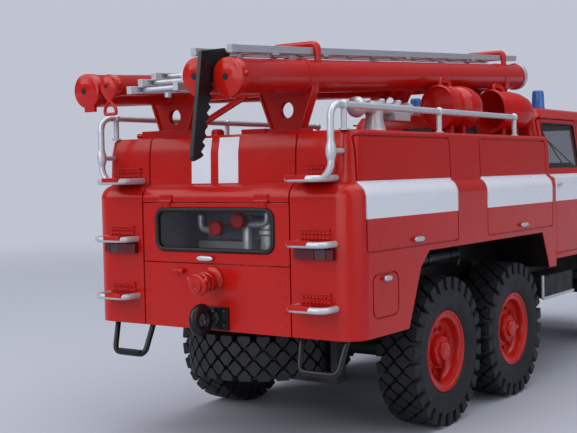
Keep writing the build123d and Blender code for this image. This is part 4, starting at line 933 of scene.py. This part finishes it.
BOX_X0 = REAR + 42.6
BOX_X1 = REAR + 60.0
boxes = [bar(BOX_X0, BOX_X1, 19.0, 25.0, 17.6, 22.0), bar(BOX_X0 + 4, BOX_X0 + 6, 10.6, 19.0, 18.4, 20.4)]
piece("crew_step_boxes", mirrored(boxes), soft_black, stands_for=("step_boxes",), bevel=0.2)
lip = eased([(BOX_X0 - 0.1, 25.05, 22.2), (BOX_X0 - 0.1, 25.05, 17.4), (BOX_X1 + 0.1, 25.05, 17.4)], 0.5)
piece("step_box_edges", mirrored([swept(lip, soft_box(0.6, 0.5, 0.12, 3), ASIDE)]), silver)

# Above the belt line the cab's walls lean in, by these amounts over the panes' height.
BELT = 43.4
PANE_TALL = 11.7
SIDE_LEAN = 1.8
SCREEN_LEAN = 4.2
PANE_MIDDLE = 49.1


def side_wall(z):
    """How far out the cab's side stands at a height above the belt line."""
    return 24.4 - (z - BELT) * SIDE_LEAN / PANE_TALL


def screen_wall(z):
    """How far forward the windscreen stands at a height above the belt line."""
    return CAB_FRONT - 0.3 - (z - BELT) * SCREEN_LEAN / PANE_TALL


# Window rubbers: a soft section carried round each opening, following the leaning walls
seals = []
for x0, x1 in ((CAB_BACK + 2.0, 25.7), (29.7, CAB_FRONT - 7.1)):
    outline = soft_box(x1 - x0, 9.4, 0.9, 6)
    height = PANE_MIDDLE + outline[:, 1]
    loop = np.stack([(x0 + x1) / 2 + outline[:, 0], side_wall(height) - 0.1, height], 1)
    seals.append(swept(loop, soft_box(0.3, 0.36, 0.1, 3), ASIDE, wrap=True))
seals = mirrored(seals)
outline = soft_box(40.8, 9.4, 1.4, 6)
height = PANE_MIDDLE + outline[:, 1]
loop = np.stack([screen_wall(height) - 0.1, outline[:, 0], height], 1)
seals.append(swept(loop, soft_box(0.6, 0.5, 0.2, 3), ALONG, wrap=True))
piece("cab_window_rubbers", seals, seal)
gutter = eased([(CAB_BACK + 0.9, 22.65, 55.1), (CAB_FRONT - 5.6, 22.65, 55.1)], 0.1)
piece("roof_gutters", mirrored([swept(gutter, soft_box(0.45, 0.4, 0.15, 3), UP)]), red_enamel)
# Wipers: an arm and a blade each, as (distance across from its foot, height)
WIPER_ARM = ((0, 43.9), (3.2, 47.4), (6.4, 50.9))
WIPER_BLADE = ((3.6, 45.4), (6.4, 50.9), (7.6, 53.2))
wipers = []
for y in (-13.0, 4.0):
    arm = [(screen_wall(z) + 0.35, y + d, z) for d, z in WIPER_ARM]
    wipers.append(swept(arm, circle(0.14, 8), UP))
    strip = [(screen_wall(z) + 0.15, y + d, z) for d, z in WIPER_BLADE]
    wipers.append(swept(strip, soft_box(0.2, 0.3, 0.08, 3), UP))
piece("screen_wipers", wipers, soft_black)

# Straps and outlet elbow of the air cylinder in the right arch
AIR_Y = -17.0
AIR_Z = 28.4
STRAP = [(1.3, 0), (1.62, 0), (1.62, 1.0), (1.3, 1.0)]
elbow = eased([(REAR + 17.8, AIR_Y, AIR_Z), (REAR + 19.6, AIR_Y, AIR_Z), (REAR + 19.6, AIR_Y, 26.2)], 0.9)
air = [turned(STRAP, (REAR + x, AIR_Y, AIR_Z), ALONG, 32, wrap=True) for x in (5.0, 14.0)]
air.append(swept(elbow, circle(0.5, 12), ASIDE))
piece("air_cylinder_straps", air, black)

# ---- Camera, floor and light --------------------------------------------------------------------

yaw, pitch, roll = np.radians((35.108, -2.458, -1.209))
ahead = np.array((np.cos(pitch) * np.cos(yaw), np.cos(pitch) * np.sin(yaw), np.sin(pitch)))
right = np.array((np.sin(yaw), -np.cos(yaw), 0.0))
up = np.cross(right, ahead)
camera = bpy.data.objects.new("camera", bpy.data.cameras.new("camera"))
bpy.context.scene.collection.objects.link(camera)
turn = np.eye(4)
turn[:3, 0] = np.cos(roll) * right + np.sin(roll) * up
turn[:3, 1] = -np.sin(roll) * right + np.cos(roll) * up
turn[:3, 2] = -ahead
turn[:3, 3] = np.array((-204.687, -106.053, 44.706)) * MM
camera.matrix_world = Matrix(turn.tolist())
camera.data.sensor_fit = "HORIZONTAL"
camera.data.sensor_width = 36.0
camera.data.lens = 65.38
camera.data.clip_start = 0.001
bpy.context.scene.camera = camera

BACKDROP = "#C0C4D1"
# Floor: a wide disc whose lit middle fades into the backdrop's own colour, so no edge shows.
FADE_FROM = 140
FADE_TO = 550
disc = np.array([(0.0, 0.0), (300.0, 0.0), (1200.0, 0.0), (9000.0, 0.0)])
points, polygons = turned(disc, (0, 0, -0.02), UP, 96)
mesh = bpy.data.meshes.new("floor")
mesh.from_pydata((points * MM).tolist(), [], polygons[0].tolist())
floor = bpy.data.objects.new("floor", mesh)
bpy.context.scene.collection.objects.link(floor)
# Matt studio paper: an even pale grey with no gloss, which takes a soft shadow
material, tree, shader, place = blank("pale_studio_paper")
shader.inputs["Base Color"].default_value = tint("#AEB2BE")
shader.inputs["Roughness"].default_value = 0.7
seen = add(tree, "LightPath").outputs
looks = add(tree, "Math", {0: seen["Is Camera Ray"], 1: seen["Is Glossy Ray"]}, operation="MAXIMUM")
looks = add(tree, "Math", {0: looks.outputs[0], 1: seen["Is Transmission Ray"]}, operation="MAXIMUM")
glow = add(tree, "Emission", {"Color": tint(BACKDROP), "Strength": looks.outputs[0]})
reach = add(tree, "VectorMath", {0: place}, operation="LENGTH")
fade = {"Value": reach.outputs["Value"], 1: FADE_FROM * MM, 2: FADE_TO * MM, 3: 0.0, 4: 1.0}
fade = add(tree, "MapRange", fade, interpolation_type="SMOOTHSTEP")
blend = add(tree, "MixShader", {0: fade.outputs[0], 1: shader.outputs[0], 2: glow.outputs[0]})
tree.links.new(blend.outputs[0], tree.nodes["Material Output"].inputs["Surface"])
mesh.materials.append(material)

world = bpy.data.worlds.new("studio")
bpy.context.scene.world = world
world.use_nodes = True
tree = world.node_tree
tree.nodes.clear()
seen = add(tree, "LightPath").outputs
looks = add(tree, "Math", {0: seen["Is Camera Ray"], 1: seen["Is Transmission Ray"]}, operation="MAXIMUM")
backdrop = add(tree, "Background", {"Color": tint(BACKDROP), "Strength": 1.0})
fill = add(tree, "Background", {"Color": tint("#B4BAC8"), "Strength": 0.42})
choice = add(tree, "MixShader", {0: looks.outputs[0], 1: fill.outputs[0], 2: backdrop.outputs[0]})
add(tree, "OutputWorld", {"Surface": choice.outputs[0]})

LAMPS = [
    {"name": "key", "at": (-420, 260, 420), "aim": (-30, 0, 30), "size": 560, "power": 2.0},
    {"name": "top", "at": (40, -60, 560), "aim": (0, 0, 30), "size": 700, "power": 3.0},
    {"name": "rear", "at": (-560, -30, 110), "aim": (-75, 0, 35), "size": 420, "power": 1.05},
    {"name": "side", "at": (-120, -520, 260), "aim": (0, 0, 30), "size": 560, "power": 1.0}]
for row in LAMPS:
    light = bpy.data.lights.new(row["name"], "AREA")
    light.shape = "SQUARE"
    light.size = row["size"] * MM
    light.energy = row["power"]
    thing = bpy.data.objects.new(row["name"], light)
    bpy.context.scene.collection.objects.link(thing)
    first, second, back = across(np.array(row["at"], float) - row["aim"])
    turn = np.eye(4)
    turn[:3, :3] = np.stack([first, second, back], 1)
    turn[:3, 3] = np.array(row["at"]) * MM
    thing.matrix_world = Matrix(turn.tolist())

bpy.context.scene.view_settings.view_transform = "Standard"
